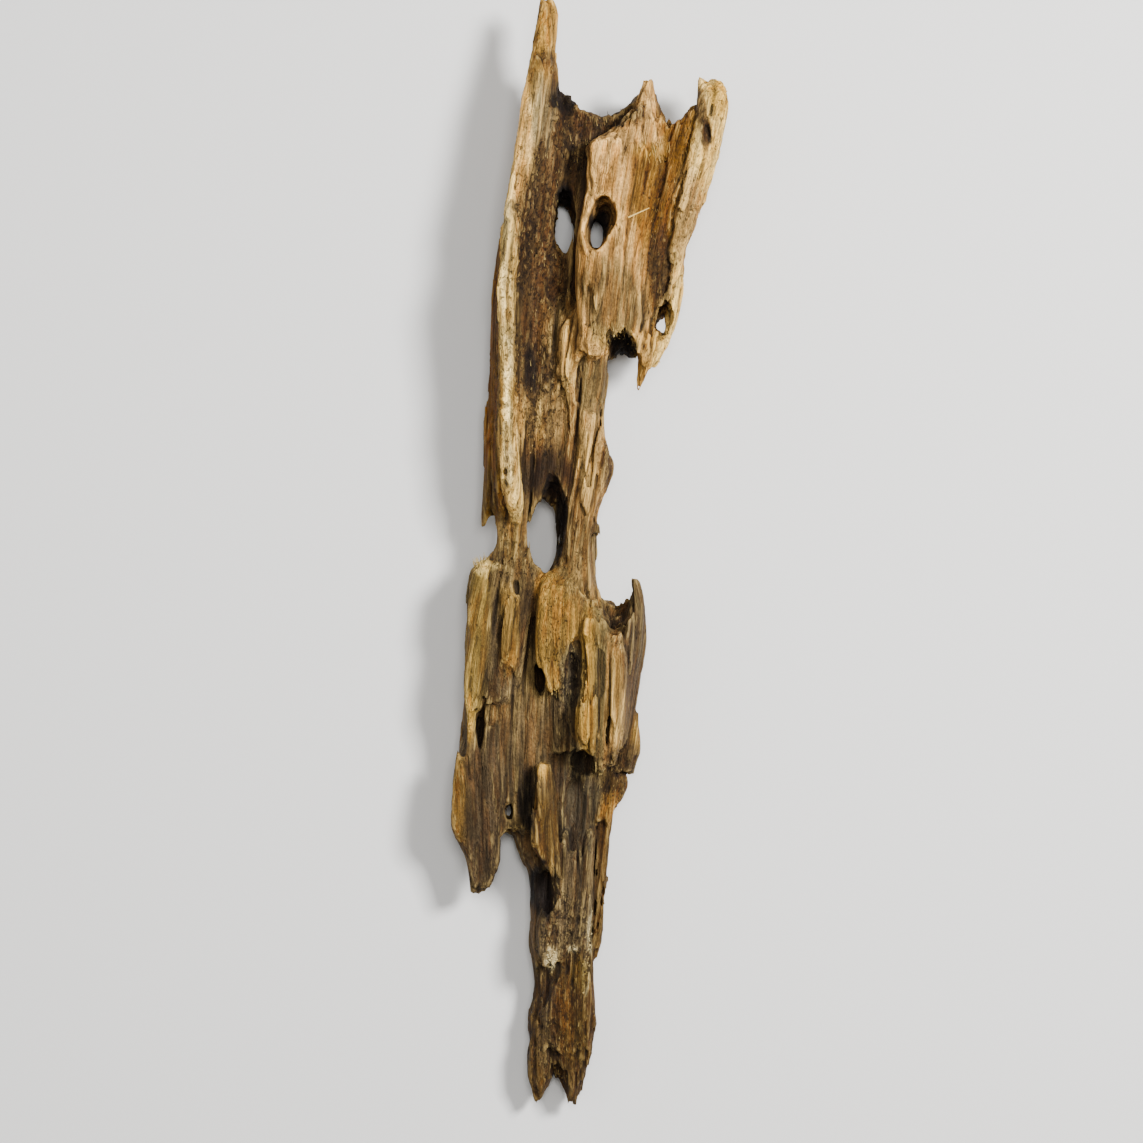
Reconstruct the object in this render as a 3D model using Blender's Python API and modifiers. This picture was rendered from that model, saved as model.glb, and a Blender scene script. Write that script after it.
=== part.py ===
"""Cholla cactus skeleton: one weathered piece of its woody wall, lying on its back.

Metres, +Z up. The grain runs along Y, the ridged outer face looks up, and the origin
is on the surface that the piece rests on, under the middle of its outline.
"""
import math

import bmesh
import bpy
from mathutils import Matrix

MM = 0.001
NAME = "cholla_wood"

# The wood is a bundle of strands grown together. Sizes are in millimetres.
# A station of a strand is (y, left edge, right edge, height at the left edge,
# height at the right edge, thickness), listed from its upper end to its lower end.
UPPER_STRANDS = {
    "left_crest": [
        (138.0, -12.5, -9.2, 20.5, 20.5, 3), (133, -13.4, -8.4, 22, 21, 5.5),
        (124, -15.0, -8.8, 24, 22, 7), (113, -17.3, -11.5, 26, 24, 8),
        (97, -19.3, -14.0, 27, 25.5, 9), (80, -21.5, -16.8, 28, 26.5, 10),
        (63, -22.8, -19.0, 28.5, 27, 10), (38, -22.4, -18.6, 27.5, 26, 9),
        (20, -22.0, -17.2, 26, 25, 8), (12, -21.0, -16.5, 24.5, 23, 6),
        (7.2, -19.5, -17.3, 21, 20, 3)],
    "left_inner": [
        (121, -13.0, -8.8, 21, 18, 7), (113, -15.5, -7.5, 22, 17, 9),
        (104, -16.5, -4.6, 22, 16, 9), (90, -18.0, -6.0, 22, 15.5, 9),
        (70, -20.0, -9.0, 21, 15, 8), (50, -20.5, -12.0, 20, 15, 8),
        (20, -20.5, -14.0, 20, 17, 7), (9, -20.0, -16.0, 18, 17, 6)],
    "left_flank": [
        (80, -22.2, -19.0, 20, 25, 6), (70, -23.9, -19.0, 16.5, 25, 8),
        (50, -24.8, -20.0, 15.0, 24.5, 8), (31, -26.6, -20.0, 14.5, 24, 8),
        (13, -27.6, -19.5, 14.5, 22, 7), (9, -27.2, -23.0, 14.0, 17, 4),
        (6.8, -26.7, -25.4, 13.5, 14, 2.4)],
    "upper_wall": [
        (114, -9.0, 23.0, 15, 17, 8), (108, -13.0, 26.0, 14.5, 17, 9),
        (100, -15.0, 25.0, 14.5, 17, 10), (85, -17.5, 21.5, 14, 16.5, 10),
        (68, -19.5, 20.0, 14, 16.5, 10), (54, -20.0, 16.5, 14.5, 16, 9),
        (49, -20.0, 13.0, 14.5, 15, 6)],
    "centre_plate": [
        (117.6, 11.7, 16.2, 20.5, 20, 4.6), (112, 10.6, 17.0, 23, 21, 7),
        (107, 7.0, 18.0, 24.5, 21.5, 9), (100, -1.0, 19.5, 26.0, 22, 12),
        (88, -1.8, 18.5, 26.5, 22, 13), (76, -3.3, 17.0, 27, 22.5, 13),
        (63, -3.4, 16.0, 27, 23.5, 13), (53, -3.6, 15.0, 26.5, 24, 12),
        (48.5, -3.4, 14.6, 25.0, 23.5, 8)],
    "fang": [
        (54, 11.2, 16.0, 24, 23, 7), (48, 11.8, 15.0, 23.5, 22.5, 6),
        (43.5, 11.4, 13.5, 22, 21, 4), (40.7, 10.2, 12.2, 20.5, 20, 2.4)],
    "right_ridge": [
        (117.2, 27.2, 34.4, 20, 20, 5), (112, 26.9, 34.8, 24, 22, 9),
        (104, 26.0, 33.4, 25.5, 22.5, 11), (96, 24.2, 31.2, 26, 22.5, 12),
        (87, 22.0, 28.2, 26.5, 23, 12), (80, 20.4, 25.8, 26.5, 23, 12),
        (75, 19.4, 24.0, 25.5, 22.5, 10), (66, 18.6, 23.4, 24.5, 21, 9),
        (57, 17.8, 21.6, 23.5, 20, 9), (50.5, 15.8, 19.0, 22, 19, 8),
        (46.5, 14.4, 16.8, 20, 18, 5)],
    "right_web": [
        (110, 15.0, 30.0, 19, 22, 10), (98, 16.0, 29.0, 21, 23.5, 12),
        (86, 15.0, 25.0, 22.5, 24, 13), (76, 14.0, 21.5, 22.5, 23.5, 13),
        (62, 13.0, 20.0, 21.5, 22, 12), (52, 12.0, 17.5, 21, 21, 10),
        (48, 12.0, 15.5, 19, 18, 7)],
}
MIDDLE_STRANDS = {
    "mid_wall": [
        (64, -21.0, 4.0, 15, 16, 9), (46, -22.0, 4.0, 16, 18, 10),
        (35, -23.0, 2.6, 16.5, 18, 10), (20, -23.0, 1.4, 17, 17.5, 10),
        (8, -24.2, 0.7, 17, 17.5, 9), (-4, -24.4, 0.3, 17, 17, 9),
        (-14, -27.0, 2.0, 17, 17, 8)],
    "centre_rib": [
        (62, -5.0, -2.8, 16, 17, 5), (54, -7.4, -2.8, 19, 20.5, 8),
        (46, -7.4, -3.8, 19.5, 20.5, 7), (38, -5.6, -3.4, 18.5, 18.5, 5),
        (30, -4.6, -3.2, 17.5, 17.5, 3)],
    "shelf": [
        (52, -4.0, 3.6, 20.5, 20.5, 9), (42, -3.4, 3.2, 19.5, 19.5, 9),
        (30, -2.4, 1.8, 18.5, 18.5, 8)],
    "mid_rib": [
        (34, -2.0, 1.9, 19.5, 19.5, 8), (27, -2.2, 3.6, 20.5, 19.5, 9),
        (21.8, -2.8, 5.2, 21, 19, 9), (16, -3.4, 4.0, 21, 19.5, 9),
        (10, -4.4, 1.9, 20.5, 20, 9), (0, -5.0, 0.2, 20, 19.5, 9),
        (-8, -4.2, 1.3, 19.5, 19, 8), (-13.8, -1.0, 2.4, 17, 16, 5)],
    "nub": [(7.3, -1.4, 2.3, 18.4, 17.6, 3.6), (4.3, -1.4, 2.3, 17.9, 17.1, 3.6)],
    "neck_left": [
        (16, -22.0, -15.0, 18, 19, 9), (5, -23.9, -15.9, 18, 19.5, 9),
        (-3, -25.2, -15.0, 18.5, 19, 9), (-9, -28.0, -12.0, 18, 18, 8)],
}
LOWER_STRANDS = {
    "lower_wall": [
        (-1.6, -26.8, -1.0, 16, 16, 7), (-5, -29.6, 1.0, 16.5, 16.5, 8),
        (-15, -30.8, 7.0, 16.5, 16, 9), (-25, -31.3, 11.0, 16.5, 15, 9),
        (-40, -32.2, 9.5, 16.5, 14, 9), (-50, -33.0, 7.0, 16.5, 13.5, 9),
        (-58, -34.0, 5.0, 16.5, 13, 9), (-66, -34.4, 2.0, 16, 12.5, 8),
        (-70, -33.4, -19.0, 15.5, 14, 7)],
    "ridge_one": [
        (-2.8, -27.4, -24.4, 18.5, 18.5, 5), (-6, -30.0, -25.2, 20, 20, 8),
        (-15, -30.8, -24.8, 21, 19.5, 9), (-28, -31.4, -25.8, 21, 19, 9),
        (-40, -31.8, -27.0, 19.5, 18, 8), (-44, -32.0, -28.6, 18.5, 17.5, 6)],
    "grey_flat": [
        (-5, -25.6, -14.6, 18, 18, 7), (-16, -26.0, -13.8, 18.4, 18.4, 7),
        (-30, -27.0, -16.6, 18, 18, 7), (-37, -27.4, -19.6, 16.8, 16.8, 5)],
    "ridge_two": [
        (-8, -22.6, -19.4, 18.5, 18.5, 6), (-13, -22.0, -18.0, 20.5, 20.5, 8),
        (-24, -21.8, -18.2, 20.5, 20.5, 8), (-30.5, -21.2, -18.8, 18.0, 18.0, 4)],
    "tongue": [
        (-3.5, -12.0, -2.0, 17.5, 18, 7), (-9, -13.2, -1.8, 21.5, 21.5, 9),
        (-20, -13.6, -1.8, 23.5, 23, 8), (-27, -13.4, -3.6, 23.0, 22, 6),
        (-31.5, -12.0, -6.0, 22, 21.5, 4.5), (-35.2, -10.5, -8.0, 20.5, 20.5, 3)],
    "tongue_side": [
        (-12, -4.6, -1.0, 20.5, 21.5, 8), (-24, -5.4, -1.6, 20.5, 21.5, 8),
        (-34, -9.0, -2.0, 18.6, 20.5, 7), (-42, -9.0, -2.6, 17.2, 19.5, 6)],
    "plate_rib_one": [
        (-12.9, -1.4, 1.0, 21, 21, 4), (-18, -2.2, 1.4, 24, 24.5, 9),
        (-30, -2.9, 1.3, 25.5, 25.5, 11), (-44, -3.4, 1.2, 25.5, 25.5, 11),
        (-49.6, -3.5, 1.0, 24.5, 24.5, 8)],
    "plate_rib_two": [
        (-13.2, -0.4, 1.8, 21.5, 20.5, 5), (-17, 0.2, 4.2, 23.5, 23, 8),
        (-30, 0.8, 4.4, 24.2, 24, 9), (-44, 0.8, 4.0, 24.2, 24, 9),
        (-51, 1.2, 3.6, 23.5, 23.5, 7), (-54.8, 1.6, 3.2, 22.5, 22.5, 3)],
    "plate_rib_three": [
        (-20.2, 4.4, 8.6, 23.5, 23, 7), (-30, 4.8, 8.7, 26, 25.2, 10),
        (-40, 4.4, 8.4, 26, 25.2, 10), (-48, 3.6, 7.6, 25, 24.2, 9),
        (-53.6, 3.0, 6.0, 24, 23.5, 5)],
    "plate_side": [
        (-7.4, 10.0, 12.4, 19, 19, 3.4), (-11, 9.3, 13.5, 21.5, 19, 6),
        (-15, 8.6, 13.9, 24, 19, 8), (-22, 7.6, 13.7, 25.5, 18.5, 10),
        (-32, 7.4, 12.2, 25, 17.5, 10), (-41, 7.0, 10.7, 24, 17, 9),
        (-48, 6.2, 9.4, 22.5, 17, 7)],
    "plate_core": [
        (-12.2, 1.5, 9.5, 15.5, 16.5, 6), (-18, -1.0, 12.0, 20, 18, 9),
        (-32, -2.0, 11.5, 22, 18, 10), (-46, -2.5, 8.5, 22, 17, 9),
        (-50, -2.0, 7.0, 20, 16, 6)],
    "gold_rim": [
        (-49.5, -33.0, -31.2, 17.5, 17.5, 5), (-58, -34.2, -31.0, 18.5, 18.0, 7),
        (-68, -34.6, -31.5, 18.2, 17.5, 7), (-72, -33.2, -30.8, 16.5, 16.0, 5)],
    "left_lobe": [
        (-44, -32.0, -22.0, 16.5, 17, 8), (-58, -34.0, -21.0, 17, 17, 8),
        (-68, -34.4, -21.4, 17, 16.5, 7.5), (-72, -33.2, -22.3, 16.5, 16.5, 7),
        (-77, -31.2, -22.5, 16, 16, 6), (-81, -30.2, -23.6, 15.5, 15.5, 5.5),
        (-84.6, -29.6, -24.8, 14.5, 14.5, 4)],
    "flap": [
        (-52.8, -12.8, -10.0, 20.5, 19, 4), (-58, -13.6, -8.8, 22.5, 18, 7),
        (-66, -14.4, -8.0, 23.5, 18, 8), (-72, -14.4, -7.6, 23, 18, 7),
        (-76, -12.4, -7.0, 21, 17.5, 5), (-81, -9.2, -6.4, 18.5, 17, 4)],
    "knot_sliver": [
        (-41, 9.4, 11.6, 14, 14, 3), (-45, 9.0, 12.0, 14.5, 14.5, 5),
        (-50, 8.0, 11.8, 14, 14, 5)],
    "knot_upper": [
        (-45.5, 6.0, 11.2, 14, 13, 6), (-50, 6.0, 11.8, 14.5, 14, 8),
        (-55, 5.0, 10.8, 13.5, 13, 6)],
    "knot_lower": [
        (-53, 1.5, 8.0, 12, 12, 8), (-58.5, 1.0, 9.6, 12.5, 13.5, 9),
        (-63.5, 1.0, 6.8, 12, 12, 7)],
    "knot_foot": [
        (-60.5, 1.2, 7.6, 13, 13, 7), (-65, 1.4, 6.2, 14, 13.5, 7),
        (-68.2, 1.4, 4.9, 14, 13.5, 6)],
}
TAIL_STRANDS = {
    "column": [
        (-48, -15.0, 1.5, 13, 13, 9), (-60, -18.0, 2.0, 13.5, 13.5, 10),
        (-68, -19.4, 1.6, 13.5, 14, 10), (-73, -18.4, 1.5, 13, 14.5, 10),
        (-77, -17.2, 1.4, 12.5, 15, 10), (-81, -15.2, 1.2, 12, 15, 10),
        (-92, -15.0, 0.4, 12, 15, 11), (-97, -15.5, 0.0, 12, 15, 11),
        (-101, -15.0, -0.4, 12, 14.5, 11), (-105, -13.6, -0.2, 12, 13.5, 10),
        (-110, -12.0, -1.0, 11, 12, 7)],
    "column_face": [
        (-70, -7.6, 1.2, 15, 15, 5), (-76, -8.6, 1.2, 17, 16, 7),
        (-84, -8.8, 0.6, 16.5, 16, 8), (-92, -12.8, -2.0, 16.2, 16, 8),
        (-98, -13.2, -4.0, 16.2, 16, 8), (-104.5, -12.6, -8.4, 14.6, 15, 5)],
    "crust": [
        (-84, -6.0, 0.4, 15.5, 16, 6), (-94, -6.0, -0.4, 16.4, 16.6, 7),
        (-99.5, -5.0, -1.2, 15.4, 15.2, 5)],
    "column_back": [
        (-58, -8.0, 4.6, 7.5, 8.5, 6), (-72, -10.0, 3.9, 8, 9, 6),
        (-88, -10.0, 2.4, 8, 8.5, 6), (-99, -9.0, 0.8, 8, 8, 5)],
    "side_strand": [
        (-62, 1.8, 5.4, 11.5, 11.5, 5), (-72, 2.0, 5.2, 12, 11.5, 6),
        (-80, 1.9, 4.6, 12, 11.5, 6), (-88, 1.1, 3.4, 11.5, 11, 6),
        (-97, 0.4, 2.9, 11, 10.5, 6), (-102, -0.6, 1.7, 10, 10, 4)],
    "tail": [
        (-94, -12.0, -2.0, 9, 11, 6), (-99, -14.0, -0.4, 10, 12, 9),
        (-107, -13.4, 0.6, 10.5, 13.5, 10), (-112, -14.0, 1.0, 10, 13.5, 10),
        (-118, -15.7, 1.5, 9.5, 13, 9.5), (-123, -15.2, 0.5, 10, 12.5, 9),
        (-128, -15.4, -0.6, 10.5, 12, 8)],
    "tail_face": [
        (-98, -11.5, -0.4, 13.5, 14, 7), (-108, -10.6, 0.4, 14.5, 14.5, 8),
        (-117, -12.6, 0.9, 13.5, 14.5, 8), (-125, -12.5, 0.0, 12.5, 13, 6)],
    "left_prong": [
        (-118, -14.6, -8.0, 11.0, 11, 7), (-125, -15.2, -8.4, 11.5, 11, 8),
        (-131, -15.8, -9.0, 11, 10.5, 7), (-135, -14.4, -10.8, 10, 9.5, 5),
        (-138, -13.9, -11.9, 8.5, 8.5, 2.6)],
    "right_prong": [
        (-118, -8.8, -0.4, 12, 12.5, 7), (-125, -8.4, -0.4, 12, 12, 8),
        (-131, -7.6, -1.2, 11.5, 11.5, 7), (-135, -6.2, -2.2, 10.5, 10.5, 5),
        (-138, -5.2, -3.0, 9, 9, 2.6)],
}
BACK_STRANDS = {
    "back_rib_left": [
        (104, -16.0, -9.0, 9, 9, 7), (85, -20.0, -11.0, 8.5, 8.5, 8),
        (50, -20.0, -12.0, 10, 10, 7), (15, -22.0, -15.0, 11, 11, 7)],
    "back_rib_right": [
        (108, 15.0, 24.0, 10, 10, 7), (85, 12.0, 21.0, 9, 9, 8),
        (56, 8.0, 15.0, 10, 10, 7)],
    "back_rib_mid": [
        (60, -4.0, 3.0, 9, 9, 7), (20, -5.0, 0.5, 10.5, 10.5, 6),
        (-10, -6.0, 3.0, 9, 9, 7), (-45, -8.0, 3.0, 7.5, 7.5, 7),
        (-90, -11.0, -1.0, 6, 6, 5), (-122, -12.0, -3.0, 6, 6, 4)],
    "back_rib_lobe": [
        (-6, -28.0, -21.0, 10, 10, 6), (-40, -30.0, -22.0, 9.5, 9.5, 6),
        (-68, -31.0, -24.0, 11, 11, 6)],
}

# Low knots on the back that the piece rests on: (x, y, z, half sizes in x, y and z).
RESTING_KNOTS = {
    "knot_left": (-15.0, 88.0, 3.4, 5.0, 9.0, 4.6),
    "knot_right": (17.0, 84.0, 3.4, 5.0, 9.0, 4.6),
    "knot_tail": (-7.0, -112.0, 3.2, 4.6, 9.0, 4.2),
}

# Where the flesh, rot and breakage left the wood open: (x, y, z, half sizes in x, y and z,
# lean along x and y for each millimetre of height).
HOLLOWS = {
    "top_dip": (1.8, 121.0, 36.0, 14.0, 21.0, 25.0, 0, 0),
    "top_dip_through": (2.9, 119.5, 12.0, 10.0, 10.4, 40.0, 0, 0),
    "right_dip": (21.2, 120.0, 34.0, 6.2, 14.5, 22.0, 0, 0),
    "right_dip_through": (21.4, 118.5, 12.0, 5.2, 12.2, 40.0, 0, 0),
    "valley_hole": (-6.3, 83.4, 14.0, 2.7, 8.0, 30.0, 0.03, 0.1),
    "plate_hole": (3.5, 83.2, 27.0, 2.9, 4.6, 15.0, 0, 0),
    "plate_hole_foot": (1.4, 79.4, 27.0, 2.8, 4.4, 15.0, 0, 0),
    "plate_hole_through": (1.7, 79.6, 14.0, 1.7, 3.7, 30.0, 0, 0),
    "ridge_hole": (18.4, 57.6, 22.0, 1.7, 3.9, 9.0, 0, 0),
    "ridge_hole_through": (17.5, 56.6, 14.0, 1.1, 1.7, 30.0, 0, 0),
    "arch": (7.9, 47.5, 21.0, 4.3, 8.6, 9.0, 0, 0),
    "arch_through": (7.9, 41.0, 12.0, 3.9, 9.0, 30.0, 0, 0),
    "oval": (-11.9, 4.0, 12.0, 4.1, 9.2, 40.0, 0.15, 0.08),
    "oval_mouth": (-9.3, 7.5, 22.0, 3.9, 12.5, 13.0, 0, 0),
    "left_bite": (-26.4, 3.2, 14.0, 2.6, 4.6, 30.0, 0, 0),
    "slit": (-27.6, -43.2, 20.0, 1.0, 4.4, 9.0, 0, 0),
    "slit_outer": (-32.2, -45.4, 21.0, 1.5, 5.0, 9.0, 0, 0),
    "tongue_gap": (-12.6, -31.4, 16.0, 1.5, 4.4, 5.0, 0, 0),
    "deep_groove": (-15.6, -17.0, 24.0, 2.3, 16.0, 6.6, 0, 0),
    "plate_hollow": (-4.0, -31.0, 26.0, 2.4, 8.0, 7.0, 0, 0),
    "plate_cavity": (-1.0, -52.6, 17.5, 4.6, 4.6, 6.0, 0, 0),
    "scoop": (-3.0, -60.0, 22.0, 5.6, 17.0, 11.0, 0, 0),
    "knot_pocket": (5.6, -56.0, 17.0, 2.6, 2.4, 4.5, 0, 0),
    "pin_hole": (-20.2, -65.0, 14.0, 1.0, 2.2, 30.0, 0, 0),
    "flap_shade": (-10.6, -82.0, 17.6, 3.2, 6.6, 5.4, 0, 0),
    "strand_gap": (1.4, -83.0, 15.0, 0.6, 12.0, 3.6, 0, 0),
    "foot_notch": (-7.6, -137.4, 10.0, 2.1, 6.2, 30.0, 0, 0),
    "horn_dip": (6.6, -8.0, 22.0, 4.6, 12.0, 12.0, 0, 0),
    "horn_dip_through": (5.6, -5.5, 12.0, 4.6, 7.6, 30.0, 0, 0),
}

# How finely the strands are drawn, in points round a section and millimetres along it.
SECTION_POINTS = 20
ROW_STEP = 2.0
SECTION_ROUNDNESS = 0.62     # 1 gives an ellipse, 0 a plain box
END_SHRINK = (0.45, 0.82)    # size of a strand's last two rows, so that its end is rounded

# The grain, and the surface's fineness.
GRAIN_STRETCH = 14.0         # the pattern is this many times longer along the grain
GRAIN_WIDTH = 2.2 * MM
GRAIN_DEPTH = 0.9 * MM
FRAY_WIDTH = 3.0 * MM
FRAY_LENGTH = 3.0 * MM
VOXEL = 0.8 * MM
WANTED_TRIANGLES = 9600

WOOD_COLOUR = (0.30, 0.19, 0.10, 1.0)
WOOD_ROUGHNESS = 0.85
TABLE_SIZE = 0.5


def clear_scene():
    """Removes whatever the scene starts with."""
    for obj in list(bpy.data.objects):
        bpy.data.objects.remove(obj, do_unlink=True)


def new_collection(name):
    """A new collection in the scene."""
    collection = bpy.data.collections.new(name)
    bpy.context.scene.collection.children.link(collection)
    return collection


def wood_material():
    """Plain dry wood."""
    material = bpy.data.materials.new("dry_wood")
    material.use_nodes = True
    shader = material.node_tree.nodes["Principled BSDF"]
    shader.inputs["Base Color"].default_value = WOOD_COLOUR
    shader.inputs["Roughness"].default_value = WOOD_ROUGHNESS
    shader.inputs["Metallic"].default_value = 0.0
    return material


def slope_between(before, here, after, column):
    """The slope of a smooth curve at a station, level where the size turns round."""
    rise_in = (here[column] - before[column]) / (here[0] - before[0])
    rise_out = (after[column] - here[column]) / (after[0] - here[0])
    if rise_in * rise_out <= 0:
        return 0.0
    return 2 * rise_in * rise_out / (rise_in + rise_out)


def size_at(stations, span, t, column):
    """A strand's size at the share t of the way from one station to the next."""
    start = stations[span]
    end = stations[span + 1]
    length = end[0] - start[0]
    straight = (end[column] - start[column]) / length
    slope_start = straight
    slope_end = straight
    if span > 0:
        slope_start = slope_between(stations[span - 1], start, end, column)
    if span + 2 < len(stations):
        slope_end = slope_between(start, end, stations[span + 2], column)
    return (start[column] * (2 * t**3 - 3 * t**2 + 1) + end[column] * (3 * t**2 - 2 * t**3)
            + length * slope_start * (t**3 - 2 * t**2 + t) + length * slope_end * (t**3 - t**2))


def rows_along(stations):
    """Rows (y, left, right, height left, height right, thickness) down the whole strand."""
    rows = []
    for span in range(len(stations) - 1):
        length = abs(stations[span + 1][0] - stations[span][0])
        steps = max(2, math.ceil(length / ROW_STEP))
        for step in range(steps):
            t = step / steps
            y = stations[span][0] + t * (stations[span + 1][0] - stations[span][0])
            rows.append([y] + [size_at(stations, span, t, column) for column in range(1, 6)])
    rows.append(list(stations[-1]))
    return rows


def section_ring(bm, row, shrink):
    """One closed ring of points round a strand: a rounded box sheared to follow its top."""
    y, left, right, top_left, top_right, thickness = row
    half_width = (right - left) / 2
    middle_height = (top_left + top_right - thickness) / 2
    shear = (top_right - top_left) / 2
    ring = []
    for i in range(SECTION_POINTS):
        angle = 2 * math.pi * i / SECTION_POINTS
        across = math.copysign(abs(math.cos(angle)) ** SECTION_ROUNDNESS, math.cos(angle))
        up = math.copysign(abs(math.sin(angle)) ** SECTION_ROUNDNESS, math.sin(angle))
        x = (left + right) / 2 + across * half_width * shrink
        z = middle_height + across * shear * shrink + up * thickness / 2 * shrink
        ring.append(bm.verts.new((x * MM, y * MM, z * MM)))
    return ring


def add_strand(bm, stations):
    """A strand as a loft through its stations, with rounded ends."""
    rows = rows_along(stations)
    shrinks = [1.0] * len(rows)
    shrinks[0], shrinks[1] = END_SHRINK
    shrinks[-1], shrinks[-2] = END_SHRINK
    rings = [section_ring(bm, row, shrink) for row, shrink in zip(rows, shrinks)]
    for upper, lower in zip(rings, rings[1:]):
        for i in range(SECTION_POINTS):
            j = (i + 1) % SECTION_POINTS
            bm.faces.new((upper[i], upper[j], lower[j], lower[i]))
    bm.faces.new(rings[0][::-1])
    bm.faces.new(rings[-1])


def ellipsoid_matrix(x, y, z, half_x, half_y, half_z, lean_x, lean_y):
    """The matrix that turns a ball of radius 1 into a leaning ellipsoid at its place."""
    place = Matrix.Translation((x * MM, y * MM, z * MM))
    lean = Matrix(((1, 0, lean_x, 0), (0, 1, lean_y, 0), (0, 0, 1, 0), (0, 0, 0, 1)))
    return place @ lean @ Matrix.Diagonal((half_x * MM, half_y * MM, half_z * MM, 1))


def add_ball(bm, sizes):
    """An ellipsoid in the mesh."""
    bmesh.ops.create_uvsphere(bm, u_segments=24, v_segments=16, radius=1.0,
                              matrix=ellipsoid_matrix(*sizes))


def mesh_object(name, bm, collection):
    """A new object from a bmesh, in its collection."""
    bmesh.ops.recalc_face_normals(bm, faces=bm.faces)
    mesh = bpy.data.meshes.new(name)
    bm.to_mesh(mesh)
    bm.free()
    obj = bpy.data.objects.new(name, mesh)
    collection.objects.link(obj)
    return obj


def hide_as_cutter(obj):
    """Marks an object as a cutter, which is no part of the piece."""
    obj.hide_render = True
    obj.display_type = "WIRE"


def make_hollows(collection):
    """The ellipsoids that are cut out of the wood."""
    for name, sizes in HOLLOWS.items():
        bm = bmesh.new()
        add_ball(bm, sizes)
        hide_as_cutter(mesh_object("hollow_" + name, bm, collection))


def make_table_cutter(collection):
    """The block under the piece that levels the knots it rests on."""
    bm = bmesh.new()
    bmesh.ops.create_cube(bm, size=TABLE_SIZE,
                          matrix=Matrix.Translation((0, 0, -TABLE_SIZE / 2)))
    cutter = mesh_object("table_cutter", bm, collection)
    hide_as_cutter(cutter)
    return cutter


def make_grain_guide(collection):
    """An empty stretched along Y, whose space the grain's pattern is drawn in."""
    guide = bpy.data.objects.new("grain_guide", None)
    guide.scale = (1.0, GRAIN_STRETCH, 1.0)
    collection.objects.link(guide)
    return guide


def add_displacement(obj, name, guide, width, depth, direction):
    """Moves the surface by a cloudy pattern that the guide stretches along the grain."""
    texture = bpy.data.textures.new(name, "CLOUDS")
    texture.noise_scale = width
    texture.noise_depth = 1
    displace = obj.modifiers.new(name, "DISPLACE")
    displace.texture = texture
    displace.texture_coords = "OBJECT"
    displace.texture_coords_object = guide
    displace.direction = direction
    displace.mid_level = 0.5
    displace.strength = depth


def add_remesh(obj, name):
    """Joins everything inside the surface into one even skin."""
    remesh = obj.modifiers.new(name, "REMESH")
    remesh.mode = "VOXEL"
    remesh.voxel_size = VOXEL
    remesh.adaptivity = 0.0
    remesh.use_smooth_shade = True


def add_decimate(obj):
    """Thins the skin to the wanted number of triangles."""
    depsgraph = bpy.context.evaluated_depsgraph_get()
    fine = obj.evaluated_get(depsgraph).to_mesh()
    fine.calc_loop_triangles()
    count = len(fine.loop_triangles)
    decimate = obj.modifiers.new("thinner", "DECIMATE")
    decimate.decimate_type = "COLLAPSE"
    decimate.use_collapse_triangulate = True
    decimate.ratio = WANTED_TRIANGLES / count


def make_wood(parts, cutters):
    """The whole piece: strands joined, hollows cut, grained, thinned and levelled below."""
    bm = bmesh.new()
    for group in (UPPER_STRANDS, MIDDLE_STRANDS, LOWER_STRANDS, TAIL_STRANDS, BACK_STRANDS):
        for stations in group.values():
            add_strand(bm, stations)
    for sizes in RESTING_KNOTS.values():
        add_ball(bm, sizes + (0, 0))
    wood = mesh_object(NAME, bm, parts)
    wood.data.materials.append(wood_material())

    guide = make_grain_guide(cutters)
    table = make_table_cutter(cutters)
    hollows = bpy.data.collections.new("hollows")
    cutters.children.link(hollows)
    make_hollows(hollows)

    add_remesh(wood, "grown_together")
    add_displacement(wood, "frayed_ends", guide, FRAY_WIDTH, FRAY_LENGTH, "Y")
    cut = wood.modifiers.new("hollows", "BOOLEAN")
    cut.operation = "DIFFERENCE"
    cut.solver = "EXACT"
    cut.operand_type = "COLLECTION"
    cut.collection = hollows
    add_remesh(wood, "weathered")
    add_displacement(wood, "grain", guide, GRAIN_WIDTH, GRAIN_DEPTH, "NORMAL")
    add_decimate(wood)
    level = wood.modifiers.new("level_below", "BOOLEAN")
    level.operation = "DIFFERENCE"
    level.solver = "EXACT"
    level.object = table
    return wood


def main():
    clear_scene()
    parts = new_collection("cholla_cactus_skeleton")
    cutters = new_collection("cutters")
    make_wood(parts, cutters)


main()
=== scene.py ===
import math

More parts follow.
